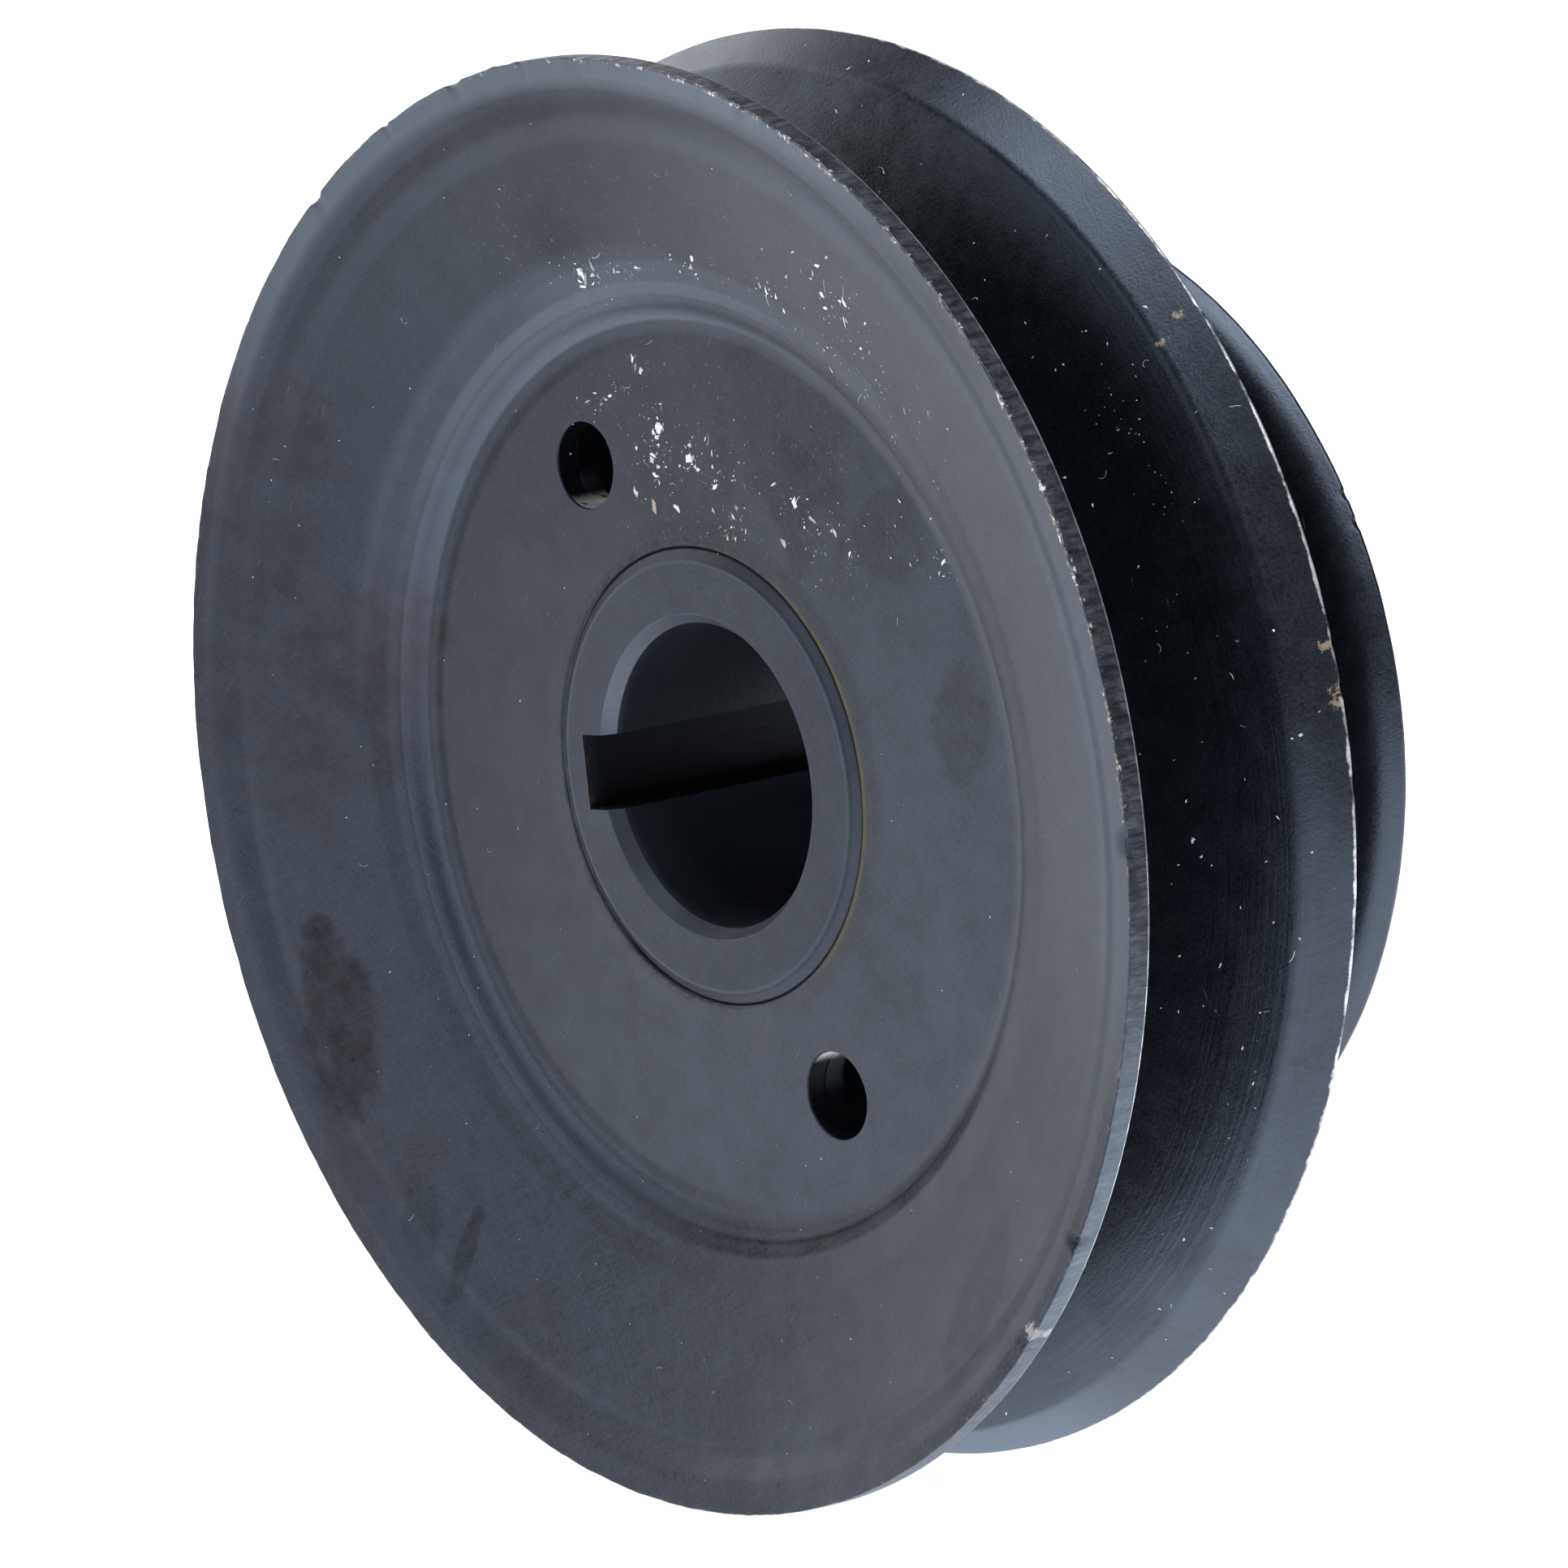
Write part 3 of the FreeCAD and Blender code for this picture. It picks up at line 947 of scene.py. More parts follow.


# Painted highlights and painted shade round the front face's rings and lip: each band is lighter or darker
# only on one arc of the circle, where the light catches the bends or misses the hollows.
# Radius from and to, fade at either side, middle of the arc and where it starts and ends to fade, swing
PAINTED_RING_LIGHT = (
    (36.1, 36.7, 0.5, 195, 65, 95, -0.33),
    (36.9, 37.6, 0.5, 108, 45, 95, 0.24),
    (36.9, 37.6, 0.5, 215, 35, 60, 0.18),
    (38.0, 38.6, 0.4, 165, 80, 115, 0.95),
    (38.0, 38.6, 0.4, 128, 20, 45, 0.80),
    (37.8, 38.6, 0.4, 5, 12, 45, 0.75),
    (38.0, 38.7, 0.4, 72, 36, 66, 0.40),
    (38.0, 38.7, 0.4, 298, 18, 42, -0.38),
    (39.0, 39.6, 0.4, 145, 100, 125, 0.65),
    (39.0, 39.6, 0.4, 140, 25, 50, 0.35),
    (39.0, 39.6, 0.4, 205, 20, 40, 0.20),
    (39.0, 39.6, 0.4, 55, 15, 35, 0.35),
    (39.0, 39.6, 0.4, 130, 18, 36, 0.22),
    (39.0, 39.8, 0.5, 302, 22, 44, -0.62),
    (40.2, 43.4, 1.6, 135, 22, 50, 0.55),
    (40.2, 40.8, 0.5, 115, 20, 50, 0.90),
    (40.2, 40.8, 0.5, 215, 40, 60, 0.30),
    (40.2, 40.8, 0.5, 85, 25, 48, 0.38),
    (41.2, 42.6, 0.6, 82, 18, 45, 0.60),
    (43.5, 59.6, 1.0, 42, 22, 62, 0.43),
    (43.5, 59.6, 1.0, 175, 45, 75, 0.20),
    (43.5, 59.6, 1.0, 308, 20, 50, -0.15),
    (43.5, 57.0, 1.0, 266, 16, 38, 0.16),
    (53.4, 54.3, 0.9, 104, 34, 68, 0.28),
    (55.5, 56.2, 0.4, 25, 35, 65, 0.85),
    (55.4, 56.2, 0.6, 104, 14, 34, -0.22),
    (55.4, 56.6, 1.0, 200, 30, 60, 0.22),
    (56.5, 57.1, 0.4, 22, 25, 55, 0.75),
    (56.5, 57.1, 0.4, 138, 12, 32, 0.40),
    (55.5, 57.1, 0.4, 292, 14, 38, -0.24),
    (57.4, 58.2, 0.4, 125, 34, 60, 0.32),
    (57.7, 58.5, 0.5, 62, 10, 25, -0.25),
    (58.6, 60.5, 1.6, 108, 26, 60, 2.10),
    (58.6, 59.4, 0.4, 330, 12, 28, -0.30),
)


def painted_ring_light(g):
    """The sum of the painted highlights and painted shade in the table above."""
    total = 0.0
    for low, high, soft, middle_deg, inner_deg, outer_deg, amount in PAINTED_RING_LIGHT:
        arc = g.sector(middle_deg, inner_deg, outer_deg)
        total = total + g.band(g.radius, low, high, soft) * arc * amount
    return total


# Cloudy marks on the front face: angle, radius, size (mm), strength
STAIN_CLOUDS = (
    (157, 55.5, 9.5, 0.9),
    (168, 54.0, 8.5, 0.7),
    (173, 42.5, 7.5, 1.0),
    (180, 46.0, 9.0, 0.9),
    (186, 49.0, 9.0, 0.6),
    (182, 55.5, 8.0, 0.6),
    (228, 55.0, 8.5, 0.7),
    (255, 57.0, 8.0, 0.5),
)
SMUDGE_CLOUDS = (
    (78, 32.7, 8.0, 0.35),
    (66, 30.6, 7.5, 0.60),
    (285, 52.0, 9.0, 0.30),
    (140, 33.0, 6.0, 0.25),
    (330, 27.0, 6.0, 0.20),
)
# Wiped marks on the front face: angle, radius, heading, half length, half width (mm), strength
STAIN_SWIPES = ((214.5, 52.1, -69, 10.5, 4.6, 0.90),)
SMUDGE_SWIPES = (
    (205, 51.3, 20, 1.9, 1.3, 1.00),
    (214.5, 52.1, -69, 9.8, 3.9, 0.70),
    (241.6, 52.7, 87, 5.2, 1.2, 0.80),
    (235.5, 54.0, -62, 4.0, 2.6, 0.50),
    (18.2, 32.3, 90, 5.8, 3.8, 0.50),
    (46.9, 32.2, 20, 5.0, 4.4, 0.50),
    (320.4, 52.3, 70, 8.0, 3.0, 0.40),
)


def front_stains(g):
    """Brown stains on the left and dark smudges, as two masks."""
    mottle = g.vivid(g.noise(0.5, 5, 0.7))
    warp = g.swing(g.noise(0.16, 5, 0.7), 15.0)
    small_warp = g.swing(g.noise(0.4, 5, 0.65), 6.0)
    ragged = g.swing(g.noise(0.45, 5, 0.65), 0.5)

    def marks(clouds, swipes):
        blots = [g.spot(*cloud, warp, 0.8) * strength for *cloud, strength in clouds]
        return blots + [g.oval(*swipe, ragged) * strength for *swipe, strength in swipes]

    stain = g.most(*marks(STAIN_CLOUDS, STAIN_SWIPES))
    smudge = g.most(*marks(SMUDGE_CLOUDS, SMUDGE_SWIPES), g.spot(108, 45.5, 5.0, small_warp, 0.8) * 0.35)
    stain = stain * (0.45 + mottle * 0.55)
    smudge = smudge * (0.55 + mottle * 0.45)
    return stain, smudge


def crevice_deposits(g, colour):
    """The colour with olive paint and rust in the crevice between the web and the hub, and where they lie."""
    patchy = g.between(g.noise(1.1, 5, 0.75), 0.44, 0.60)
    line = g.band(g.radius, 19.30, 19.80, 0.22) * patchy
    halo = g.band(g.radius, 19.0, 20.3, 1.2) * g.sector(15, 55, 95) * 0.65
    olive = (g.band(g.radius, 19.38, 19.60, 0.16) * g.between(g.noise(0.8, 5, 0.75), 0.34, 0.52)
             * g.sector(10, 38, 60))
    rusty = line * g.most(g.sector(108, 30, 52), g.sector(245, 28, 45) * 0.9)
    drip = g.spot(286, 22.0, 1.3, g.swing(g.noise(0.9, 4, 0.65), 2.0)) * 0.5
    colour = g.blend(halo, colour, OLIVE_GRIME)
    colour = g.blend(olive * 0.9, colour, OLIVE)
    colour = g.blend(g.most(rusty, drip) * 0.7, colour, RUSTY_GRIME)
    return colour, g.most(olive, rusty)


def hole_wall(g):
    """1 on the walls of the drive holes, where the coats paint shade: darker colour and less gloss."""
    return (g.band(g.radius, 24.7, 32.5, 0.1)
            * g.between(g.y, FRONT_CONTACT_Y - SHEET + 0.12, FRONT_CONTACT_Y - SHEET + 0.30)
            * g.between(g.y, FRONT_CONTACT_Y + SHEET - 0.05, FRONT_CONTACT_Y + SHEET - 0.20))


def bare_and_lit_hole_patches(g, wall):
    """Near-white patches on the hole walls: bare metal left by the drill, painted bright as a highlight where
    light reaches in.
    """
    patch = g.most(g.spot(128.3, 25.6, 2.6, 0.0, 0.6), g.spot(304.8, 24.9, 2.0, 0.0, 0.8))
    return patch * wall * g.between(g.noise(0.9, 4, 0.6), 0.32, 0.50)


def front_edge(g, colour):
    """The colour with the trimmed edge's shear marks and chipped front corner, then where the edge face is,
    its relief, where the corner is torn and where the bare outline runs, made strongest at the top and lower
    right as a painted highlight."""
    edge_face = (g.between(g.radius, 59.45, 59.62) * g.between(g.y, FRONT_RIM_Y + 0.08, FRONT_RIM_Y + 0.25)
                 * g.between(g.y, FRONT_RIM_Y + SHEET + 0.5, FRONT_RIM_Y + SHEET + 0.2))
    ridges = g.vivid(g.noise(1.6, 4, 0.7, g.round_the_bore(1.5, 0.25)))
    shear = g.vivid(g.noise(0.5, 5, 0.7, g.round_the_bore(1.5, 1.4)))
    colour = g.blend(edge_face, colour, g.blend(ridges * (0.3 + shear * 0.7), SLATE, SHEARED_STEEL))
    corner_line = g.between(g.radius, 59.45, 59.6) * g.band(g.y, FRONT_RIM_Y + 0.05, FRONT_RIM_Y + 0.11, 0.05)
    corner_line = corner_line * g.between(g.noise(1.3, 4, 0.75), 0.44, 0.56) * g.sector(45, 25, 60)
    colour = g.blend(corner_line * 0.45, colour, TAN)
    front_corner = g.between(g.radius, 59.2, 59.5) * g.between(g.y, FRONT_RIM_Y + 0.50, FRONT_RIM_Y + 0.22)
    torn = (front_corner * g.between(g.noise(1.3, 5, 0.75), 0.590, 0.620)
            * (0.10 + g.sector(58, 30, 62) * 0.90))
    torn = g.most(torn, g.spot(326.5, 59.4, 0.75, g.swing(g.noise(1.5, 4, 0.7), 1.2)) * 0.45)
    colour = g.blend(torn, colour, g.blend(g.between(g.noise(0.8, 3), 0.45, 0.58), CREAM, WHITE_PAINT))
    bare = g.between(g.radius, 59.3, 59.5) * g.band(g.y, FRONT_RIM_Y + 1.86, FRONT_RIM_Y + 1.94, 0.06)
    bare = bare * (0.45 + g.between(shear, 0.30, 0.70) * 0.55)
    # Painted highlight: the bare steel line is full strength at the top and lower right, where it catches the
    # light, and fainter elsewhere.
    outline = bare * (0.40 + g.sector(95, 22, 50) * 0.6 + g.sector(310, 30, 60))
    return colour, edge_face, edge_face * (ridges * 0.6 + shear * 0.5), torn, outline


def front_coat():
    """Satin slate coating of the front flange, with stains, handling marks and a worn, sheared rim, and with
    painted highlights and shade on its rings, edge and hole walls and a painted light slope across the face.
    """
    g = Graph("front_coat")
    clouds = g.vivid(g.noise(0.055, 4, 0.6))
    mottle = g.vivid(g.noise(0.33, 5, 0.62))
    grain = g.vivid(g.noise(3.4, 3, 0.65))
    marks = sanded(g)
    stain, smudge = front_stains(g)
    wall = hole_wall(g)
    # Painted light: the tone grows steadily towards +X and -Z, so that side of the face is lighter.
    lean = g.math("MULTIPLY_ADD", g.math("SUBTRACT", g.x, g.z), 0.0044, 1.0)
    pits = g.between(g.noise(1.5, 3, 0.7), 0.295, 0.265) * g.between(g.radius, 20.8, 21.4)
    # The tone carries the painted ring highlights and shade as well as the real stains and marks.
    tone = (1.0 + g.swing(clouds, 0.06) + g.swing(mottle, 0.07) + g.swing(marks, 0.16) + g.swing(grain, 0.13)
            + painted_ring_light(g) + stain * -0.25 + smudge * -0.40 + pits * -0.35)
    tone = tone * lean

    scuffed = g.band(g.radius, 41.0, 50.0, 2.0) * g.sector(80, 25, 48)
    scuffed = g.most(scuffed, g.band(g.radius, 21.0, 34.0, 3.0) * g.sector(88, 24, 44))
    flecks = g.between(g.noise(1.9, 5, 0.72), 0.62, 0.68) * scuffed
    fine_scratch = g.between(g.streaks(62, 3.0, 11, 1), 0.70, 0.73) * g.between(g.noise(0.3, 2), 0.5, 0.62)

    colour = g.blend(g.math("SUBTRACT", tone, 0.5, clamp=True), SLATE, SLATE_LIGHT)
    colour = g.blend(stain * 0.85, colour, BROWN)
    colour = g.blend(smudge, colour, SMUDGE)
    colour = g.blend(flecks * 0.55, colour, GREY_PAINT)
    colour = g.blend(fine_scratch * 0.14, colour, GREY_PAINT)
    colour, deposit = crevice_deposits(g, colour)

    colour, edge_face, edge_relief, torn, outline = front_edge(g, colour)
    # Painted shade: the hole walls are darkened towards ink.
    colour = g.blend(wall * 0.85, colour, INK)
    # Painted highlight: near-white bare metal on the hole walls.
    colour = g.blend(bare_and_lit_hole_patches(g, wall), colour, LIT_BARE_METAL)
    colour = g.blend(outline, colour, BARE_STEEL)

    roughness = 0.44 + g.swing(marks, 0.06) + g.swing(grain, 0.04) + stain * 0.05 + torn * 0.25
    relief = marks * 0.5 + grain * 0.35 + flecks * 0.6 + pits * -0.8
    normal = g.bump(edge_relief, 0.06, 0.7, g.bump(relief, 0.03, 0.7))
    metallic = outline * 0.95 + edge_face * 0.12
    # The sheared edge face is duller all round; on its lower right its gloss is raised threefold as a painted
    # highlight.
    sheared = 1.0 + edge_face * (-0.60 + g.sector(300, 35, 65) * 3.0)
    # Less gloss on the hole walls is painted shade; less on the crevice deposits is their own dullness.
    hole_shade_and_deposit_dulling = 1.0 + wall * -0.75 + deposit * -0.5
    gloss = tone * sheared * hole_shade_and_deposit_dulling * 0.55
    return g.shade(colour, roughness, gloss, normal, metallic, g.blend(stain, BLUE_SHEEN, BROWN_SHEEN))


# Marks on the middle flange's lip: angle, radius, size
DULL_PATCHES = ((29, 59.6, 4.5), (326, 58.3, 4.0), (315, 57.2, 4.5), (95, 58.5, 7.0), (80, 55.5, 6.0))
LIP_CHIPS = ((44.3, 57.9, 0.26), (45.7, 59.2, 0.26), (18.4, 60.0, 0.46), (15.1, 60.1, 0.46),
             (14.1, 60.0, 0.40))


def groove_coat(name, rim_r, rim_y, crease, bare_and_lit_rim=0.0):
    """Near-black coating of the formed flanges, with a painted highlight on the lip, a painted floor
    reflection low on the wall and painted shade high on it. Crease is where the lip's painted highlight
    starts and ends its fade, and bare_and_lit_rim is 1 on the flange whose rim is worn bare and whose lip
    gets the strongest painted highlights."""
    g = Graph(name)
    clouds = g.vivid(g.noise(0.07, 4, 0.6))
    mottle = g.vivid(g.noise(0.4, 5, 0.65))
    grain = g.vivid(g.noise(4.0, 3, 0.6))
    drawn = g.vivid(g.noise(2.6, 3, 0.6, g.round_the_bore(0.02, 1.0)))
    drawn_here = g.band(g.radius, crease[0] - 6.0, crease[0], 1.5) * g.sector(335, 45, 85) * bare_and_lit_rim
    lip = g.between(g.radius, *crease)
    torn = g.swing(g.noise(1.5, 4, 0.65), 1.6)
    dull_edge = g.between(g.radius + torn, rim_r - 1.5, rim_r - 0.8) * lip * bare_and_lit_rim * g.sector(24, 10, 24)
    warp = g.swing(g.noise(0.3, 5, 0.7), 7.0)
    patches = g.most(*[g.spot(*patch, warp) for patch in DULL_PATCHES])
    marks = sanded(g)
    # Painted reflection of the bright floor on the lower right of the wall.
    painted_floor_reflection = g.between(g.radius, 48.0, 57.0) * g.sector(290, 16, 60)
    # Painted light in the tone: the lip lighter all round, much lighter at its bottom and a little at its
    # top, the painted floor reflection, and the wall below the top of the lip painted darker.
    tone = (1.0 + g.swing(clouds, 0.06) + g.swing(mottle, 0.09) + g.swing(grain, 0.11) + g.swing(marks, 0.12)
            + g.swing(drawn, 0.14) * drawn_here + lip * (0.60 - 0.40 * bare_and_lit_rim)
            + lip * bare_and_lit_rim * g.sector(277, 12, 34) * 2.6 + dull_edge * -0.38 + patches * -0.20
            + painted_floor_reflection * 0.85 + g.between(g.radius, 56.0, 51.0) * g.sector(75, 28, 52) * (-0.30 * bare_and_lit_rim)
            + lip * g.sector(85, 15, 40) * 0.25)
    # Painted highlight: the lip is coloured lighter than the groove wall.
    colour = g.blend(lip, INK, DARK_SLATE)
    scratch = g.between(g.streaks(-68, 2.6, 16, 1), 0.735, 0.76)
    scratch = scratch * g.between(g.noise(0.25, 2), 0.52, 0.6)
    colour = g.blend(scratch * 0.30, colour, GREY_PAINT)

    wavy = g.swing(g.noise(0.5, 4, 0.7), 0.18)
    corner = (g.between(g.radius + wavy, rim_r - 0.18, rim_r - 0.10)
              * g.band(g.y, rim_y - 0.9, rim_y + 0.9, 0.1))
    worn = 0.35 + g.between(g.noise(0.7, 5, 0.7, g.round_the_bore(1.2, 0.6)), 0.34, 0.55) * 0.65
    bare = corner * worn * bare_and_lit_rim
    ragged = g.swing(g.noise(2.6, 4, 0.75), 0.9)
    chips = g.most(*[g.spot(*chip, ragged) for chip in LIP_CHIPS])
    chips = chips * g.between(g.noise(1.6, 4, 0.7), 0.40, 0.46) * bare_and_lit_rim
    colour = g.blend(chips * 0.8, colour, TAN)
    colour = g.blend(bare, colour, BARE_STEEL)
    wall = hole_wall(g)
    # Painted highlight: near-white bare metal on the hole walls.
    colour = g.blend(bare_and_lit_hole_patches(g, wall), colour, LIT_BARE_METAL)
    roughness = 0.38 + g.swing(grain, 0.04) + g.swing(mottle, 0.03) + dull_edge * 0.12
    relief = grain * 0.35 + drawn * drawn_here * 0.45 + marks * 0.35
    # Painted shade: the hole walls lose most of their gloss.
    gloss = tone * (0.82 + wall * -0.62)
    return g.shade(colour, roughness, gloss, g.bump(relief, 0.03, 0.6), bare * 0.85)


def hub_coat():
    """Coating over turned steel: faint turning rings on the end faces and a thin coat on the chamfers, with
    painted highlights on the chamfers, the end faces' outer edge and the right-hand shoulder, painted shade
    on the keyway floor and a painted light slope across the hub.
    """
    g = Graph("hub_coat")
    clouds = g.vivid(g.noise(0.12, 4, 0.6))
    mottle = g.vivid(g.noise(0.7, 5, 0.65))
    grain = g.vivid(g.noise(3.4, 3, 0.65))
    rings = g.vivid(g.noise(4.0, 2, 0.6, g.round_the_bore(0.02, 1.0)))
    marks = sanded(g)
    depth = g.math("ABSOLUTE", g.y)
    end_face = g.between(depth, HUB_END_Y - 0.1, HUB_END_Y - 0.02)
    inside = (g.between(g.radius, BORE_R + 3.4, BORE_R + 3.3)
              * g.between(depth, HUB_END_Y - 1.1, HUB_END_Y - 1.4))
    chamfer = g.band(g.radius, 12.78, 13.55, 0.06) * g.between(depth, 20.9, 21.1)
    worn = 0.7 + g.noise(2.2, 4, 0.7, g.round_the_bore(0.4, 1.0)) * 0.6
    # The chamfer's thin coat is also a painted highlight: lighter and glossier, most on the upper left.
    worn_chamfer_and_highlight = chamfer * worn * (0.45 + g.sector(137, 22, 52) * 0.45)
    # Painted highlights: a light line round the outer edge of the end faces and a lighter shoulder on the
    # right.
    painted_rim_highlight = g.band(g.radius, 17.85, 18.10, 0.12) * end_face
    painted_shoulder_highlight = g.between(g.radius, 18.15, 18.4) * g.sector(0, 60, 110)
    # Painted light: the tone falls steadily towards +X, so the hub is lighter towards -X.
    lean = g.math("MULTIPLY_ADD", g.x, -0.003, 0.97)
    tone = (1.0 + g.swing(clouds, 0.05) + g.swing(mottle, 0.05) + g.swing(grain, 0.08) + g.swing(marks, 0.09)
            + g.swing(rings, 0.05) * end_face + worn_chamfer_and_highlight + painted_rim_highlight * 0.45 + painted_shoulder_highlight * 0.40)
    tone = tone * lean
    key_floor = g.between(g.radius, BORE_R + 0.15, BORE_R + 0.4) * inside
    colour = g.blend(g.math("SUBTRACT", tone, 0.5, clamp=True), SLATE, SLATE_LIGHT)
    colour = g.blend(worn_chamfer_and_highlight * 0.7, colour, THIN_COAT_HIGHLIGHT)
    crevice = g.between(g.radius, 18.3, 18.9) * g.sector(10, 40, 70) * (0.4 + mottle * 0.6)
    colour = g.blend(crevice * 0.6, colour, BROWN_GRIME)
    key_side = (g.between(g.radius, 12.9, 13.3) * g.between(g.y, -HUB_END_Y + 0.9, -HUB_END_Y + 0.3)
                * g.between(g.y, -HUB_END_Y + 0.04, -HUB_END_Y + 0.12) * g.sector(KEY_ANGLE, 13.6, 14.8))
    copper = key_side * g.between(g.noise(0.9, 4, 0.7), 0.52, 0.62) * 0.55
    colour = g.blend(copper, colour, RUST)
    roughness = 0.43 + g.swing(grain, 0.04) + g.swing(rings, 0.04) * end_face + worn_chamfer_and_highlight * -0.05
    relief = rings * end_face * 0.35 + grain * 0.35 + marks * 0.45
    # Painted shade: the keyway floor is darkened to a brownish black and loses most of its gloss.
    colour = g.blend(key_floor * 0.8, colour, KEYWAY_BROWN_SHADE)
    gloss = tone * (0.50 + inside * 0.45 + key_floor * -0.55)
    return g.shade(colour, roughness, gloss, g.bump(relief, 0.03, 0.6), worn_chamfer_and_highlight * 0.3)


def weld_coat():
    """Dark coating over a weld bead, rough between the ripples, with bare spatter."""
    g = Graph("weld_coat")
    mottle = g.noise(0.9, 5, 0.65)
    grain = g.noise(7.0, 4, 0.65)
    spatter = g.between(g.noise(2.6, 2, 0.5), 0.72, 0.75)
    colour = g.blend(mottle, INK, SLATE_LIGHT)
    colour = g.blend(spatter * 0.6, colour, GREY_PAINT)
    tone = 0.5 + g.swing(mottle, 0.12) + g.swing(grain, 0.12)
    return g.shade(colour, 0.40 + g.swing(grain, 0.12), tone, g.bump(grain + spatter, 0.05, 0.7))


def nugget_metal():
    """Dull grey fused metal inside the joints."""
    g = Graph("nugget_metal")
    grain = g.noise(4.0, 5, 0.65)
    colour = g.blend(grain, DARK_WELD, LIGHT_WELD)
    roughness = 0.42 + g.swing(grain, 0.15)
    return g.shade(colour, roughness, 0.5, g.bump(grain, 0.04, 0.6), 0.9, PLAIN_SHEEN)


def chip_paint():
    """White, grey and cream flakes; each shell keeps one shade, and those near the hub are creamier."""
    g = Graph("chip_paint")
    island = g.node("NewGeometry", output="Random Per Island")
    grain = g.noise(6.0, 4, 0.65)
    near_hub = g.between(g.radius, 25.0, 22.5)
    cream = g.between(island + near_hub * 0.5, 0.86, 0.98) * 0.9
    white = g.blend(g.between(g.math("FRACT", island * 7.0), 0.0, 0.55), GREY_PAINT, WHITE_PAINT)
    colour = g.blend(cream, white, g.blend(g.math("FRACT", island * 13.0), CREAM, TAN))
    colour = g.blend(g.between(grain, 0.62, 0.72), colour, GREY_PAINT)
    roughness = 0.55 + g.swing(grain, 0.15)
    return g.shade(colour, roughness, 0.5, g.bump(grain, 0.03, 0.6), 0.0, PLAIN_SHEEN)


# -------- pieces
# Radii between which a formed flange's coat fades into the painted highlight on its lip. The inner flange has
# no lip.
MIDDLE_CREASE = (57.5, 57.95)
REAR_CREASE = (39.5, 43.0)
BEYOND_RIM = (60.0, 61.0)


def make_flanges():
    """The four pressings, in the order they are stacked on the hub. Returns the front one's coating."""
    slate = front_coat()
    flange("front_flange_pressing", front_section(), slate, "coated_sheet", "front_flange", front_shape,
           FRONT_HOLE_ROUND)
    middle_rim = rim_place(MIDDLE_BELT_SIDE, FRONT_CONTACT_Y, 1)
    flange("middle_flange_pressing", formed_section(MIDDLE_BELT_SIDE, FRONT_CONTACT_Y, 1, MIDDLE_EDGE_ROUND),
           groove_coat("middle_coat", *middle_rim, MIDDLE_CREASE, 1.0), "coated_sheet_dark", "middle_flange",
           rim_shape(*middle_rim, MIDDLE_NICKS, MIDDLE_RIM_TILT), MIDDLE_HOLE_ROUND)
    inner_rim = rim_place(INNER_BELT_SIDE, REAR_CONTACT_Y, -1)
    flange("inner_flange_pressing", formed_section(INNER_BELT_SIDE, REAR_CONTACT_Y, -1),
           groove_coat("inner_coat", *inner_rim, BEYOND_RIM), "coated_sheet_dark", "inner_flange",
           rim_shape(*inner_rim, ()))
    rear_rim = rim_place(REAR_BELT_SIDE, REAR_CONTACT_Y, 1)
    flange("rear_flange_pressing", formed_section(REAR_BELT_SIDE, REAR_CONTACT_Y, 1),
           groove_coat("rear_coat", *rear_rim, REAR_CREASE), "coated_sheet_dark", "rear_flange",
           rim_shape(*rear_rim, REAR_NICKS))
    return slate


def dress_nuggets():
    """The weld nuggets keep their CAD shape and get their own metal."""
    metal = nugget_metal()
    for node in ("front_web_nuggets", "rear_web_nuggets"):
        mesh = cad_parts[node].data
        mesh.materials.clear()
        mesh.materials.append(metal)


slate_coat = make_flanges()
make_hub(hub_coat())
bead_coat = weld_coat()
weld_bead("middle_weld_bead", FRONT_CONTACT_Y + SHEET, bead_coat, "middle_hub_weld", 250)
weld_bead("rear_weld_bead", REAR_CONTACT_Y + SHEET, bead_coat, "rear_hub_weld", 70)
dress_nuggets()
flake_paint = chip_paint()
front_debris(flake_paint)
groove_debris(flake_paint)
crevice_paint(slate_coat)

# -------- floor, light and camera
FLOOR_Z = cad_bounds[0][2]
CAMERA_AZIMUTH = 49.27
CAMERA_ELEVATION = 14.19
CAMERA_DISTANCE = 482.44
AIM_RIGHT = 13.48
AIM_UP = 0.95
LENS = 136.37
# Sizes of the stage in metres
FLOOR_HALF = 3.0
SOFTBOX_SIZE = 0.8
SOFTBOX_DISTANCE = 1.2
# Azimuth (0 in front, 90 to the right), elevation, power in watts
SOFTBOXES = (
    ("left_softbox", -110, 20, 3.4),
    ("front_left_softbox", -75, 20, 5.4),
    ("front_softbox", -10, 20, 3.5),
    ("right_softbox", 100, 55, 6.3),
    ("top_softbox", 0, 89, 7.6),
)


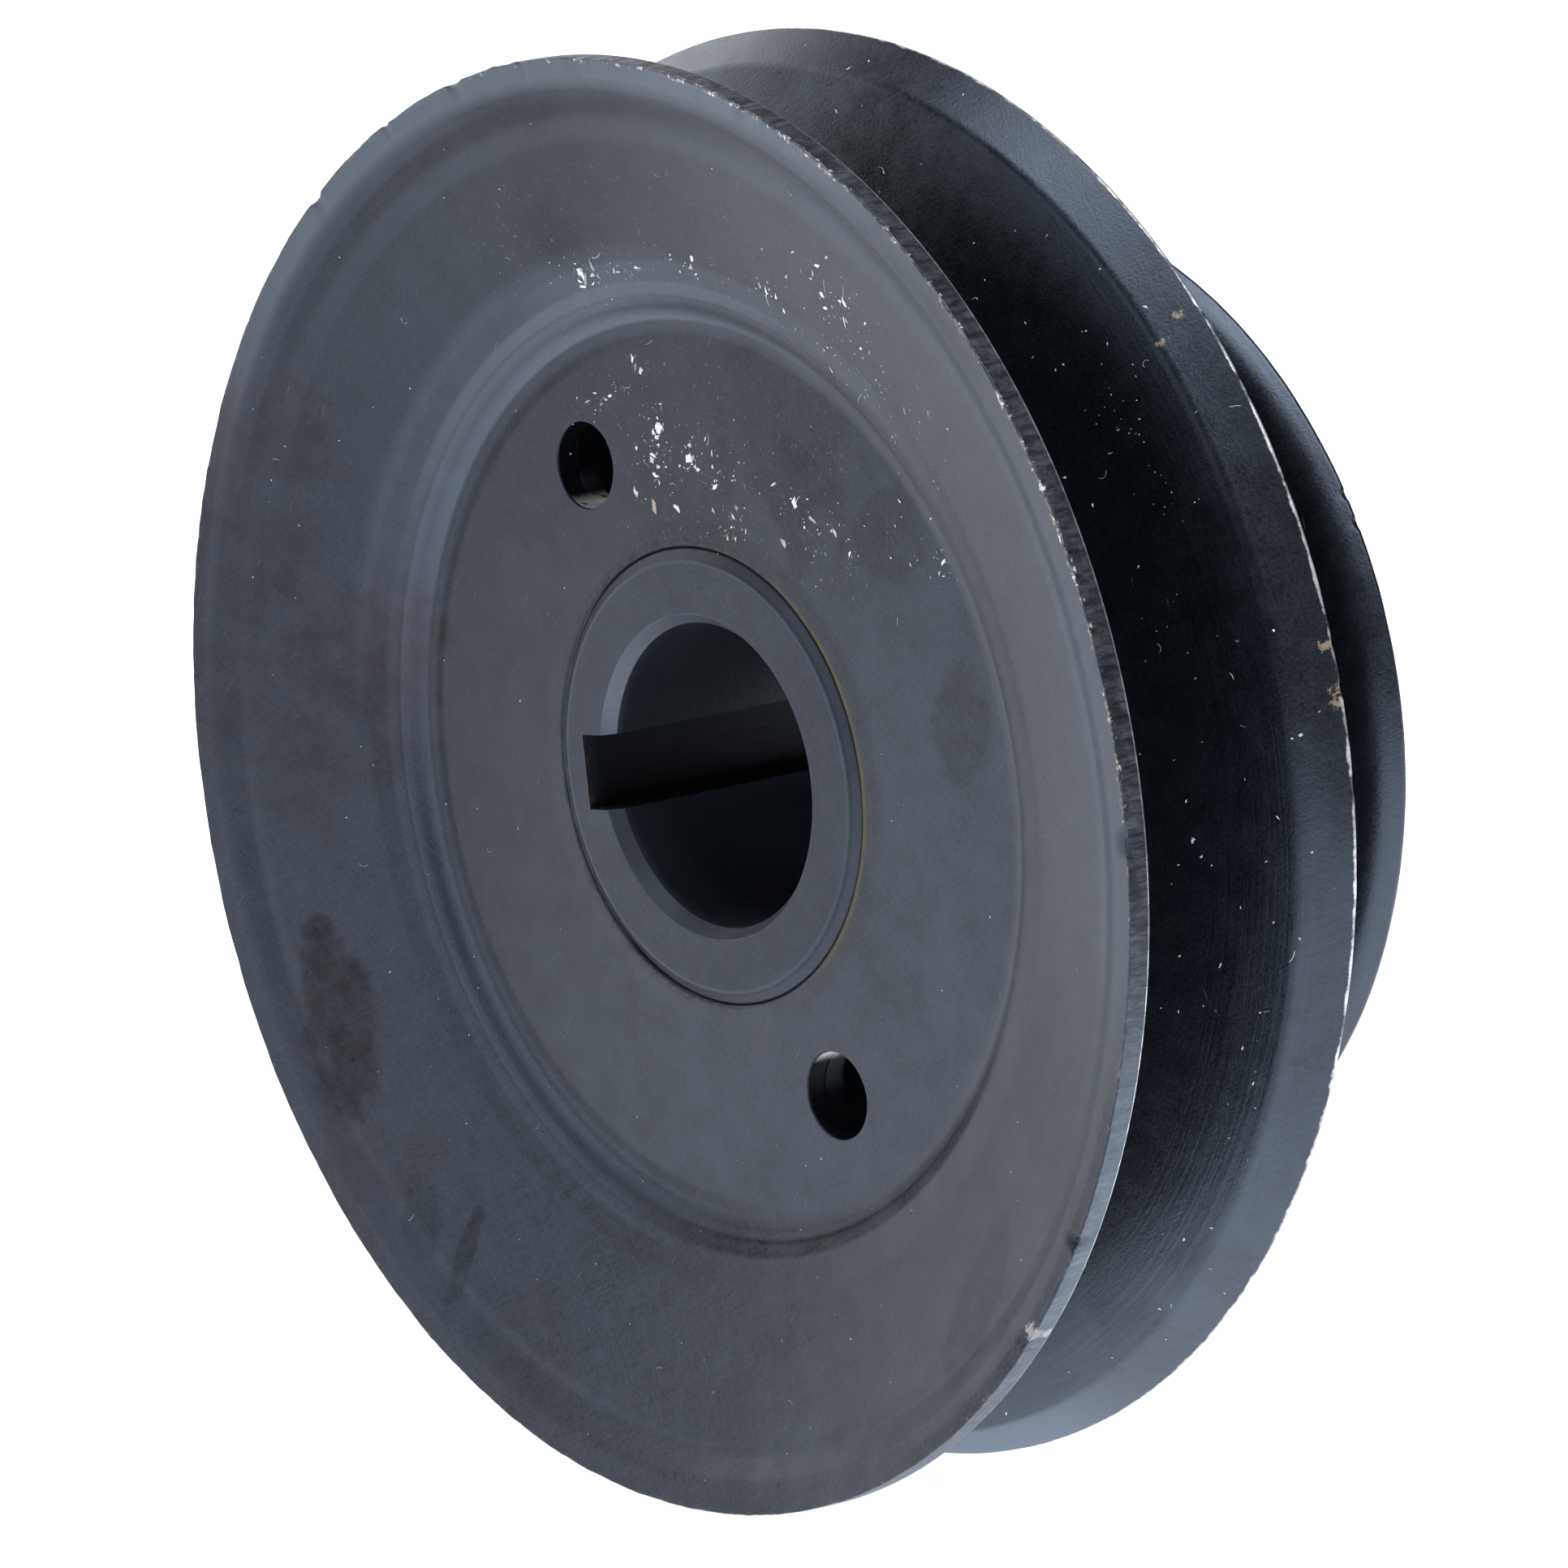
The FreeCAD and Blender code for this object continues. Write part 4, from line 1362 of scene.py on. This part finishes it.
def make_floor():
    """A glowing pale table, wide enough to fill the view."""
    mesh = bpy.data.meshes.new("floor")
    corners = [(x * FLOOR_HALF, y * FLOOR_HALF, FLOOR_Z) for x, y in ((-1, -1), (1, -1), (1, 1), (-1, 1))]
    mesh.from_pydata(corners, [], [(0, 1, 2, 3)])
    floor = bpy.data.objects.new("floor", mesh)
    bpy.context.scene.collection.objects.link(floor)
    g = Graph("floor_paper")
    for socket, value in (("Base Color", (0.9, 0.9, 0.9, 1)), ("Roughness", 0.9), ("Specular IOR Level", 0.1),
                          ("Emission Color", (1, 1, 1, 1)), ("Emission Strength", 0.9)):
        g.feed(g.shader.inputs[socket], value)
    mesh.materials.append(g.material)


def softbox(name, azimuth_deg, elevation_deg, power):
    """A square light aimed at the pulley."""
    lamp = bpy.data.lights.new(name, "AREA")
    lamp.shape = "SQUARE"
    lamp.size = SOFTBOX_SIZE
    lamp.energy = power
    azimuth = math.radians(azimuth_deg)
    elevation = math.radians(elevation_deg)
    level = math.cos(elevation)
    towards = Vector((math.sin(azimuth) * level, -math.cos(azimuth) * level, math.sin(elevation)))
    holder = bpy.data.objects.new(name, lamp)
    holder.location = towards * SOFTBOX_DISTANCE
    holder.rotation_euler = (-towards).to_track_quat("-Z", "Y").to_euler()
    bpy.context.scene.collection.objects.link(holder)


def make_camera():
    """A long lens turned towards the pulley, aimed a little beside the middle of the front rim."""
    rotation = Euler((math.radians(90 - CAMERA_ELEVATION), 0, math.radians(CAMERA_AZIMUTH)))
    turn = rotation.to_matrix()
    right, up, back = turn.col[0], turn.col[1], turn.col[2]
    rim_centre = Vector((0, FRONT_RIM_Y, 0))
    data = bpy.data.cameras.new("camera")
    data.lens = LENS
    data.sensor_width = 36
    data.clip_start = 0.01
    camera = bpy.data.objects.new("camera", data)
    camera.location = (rim_centre + right * AIM_RIGHT + up * AIM_UP + back * CAMERA_DISTANCE) * MM
    camera.rotation_euler = rotation
    bpy.context.scene.collection.objects.link(camera)
    bpy.context.scene.camera = camera


make_floor()
make_camera()
for box in SOFTBOXES:
    softbox(*box)
bpy.context.scene.view_settings.view_transform = "Standard"
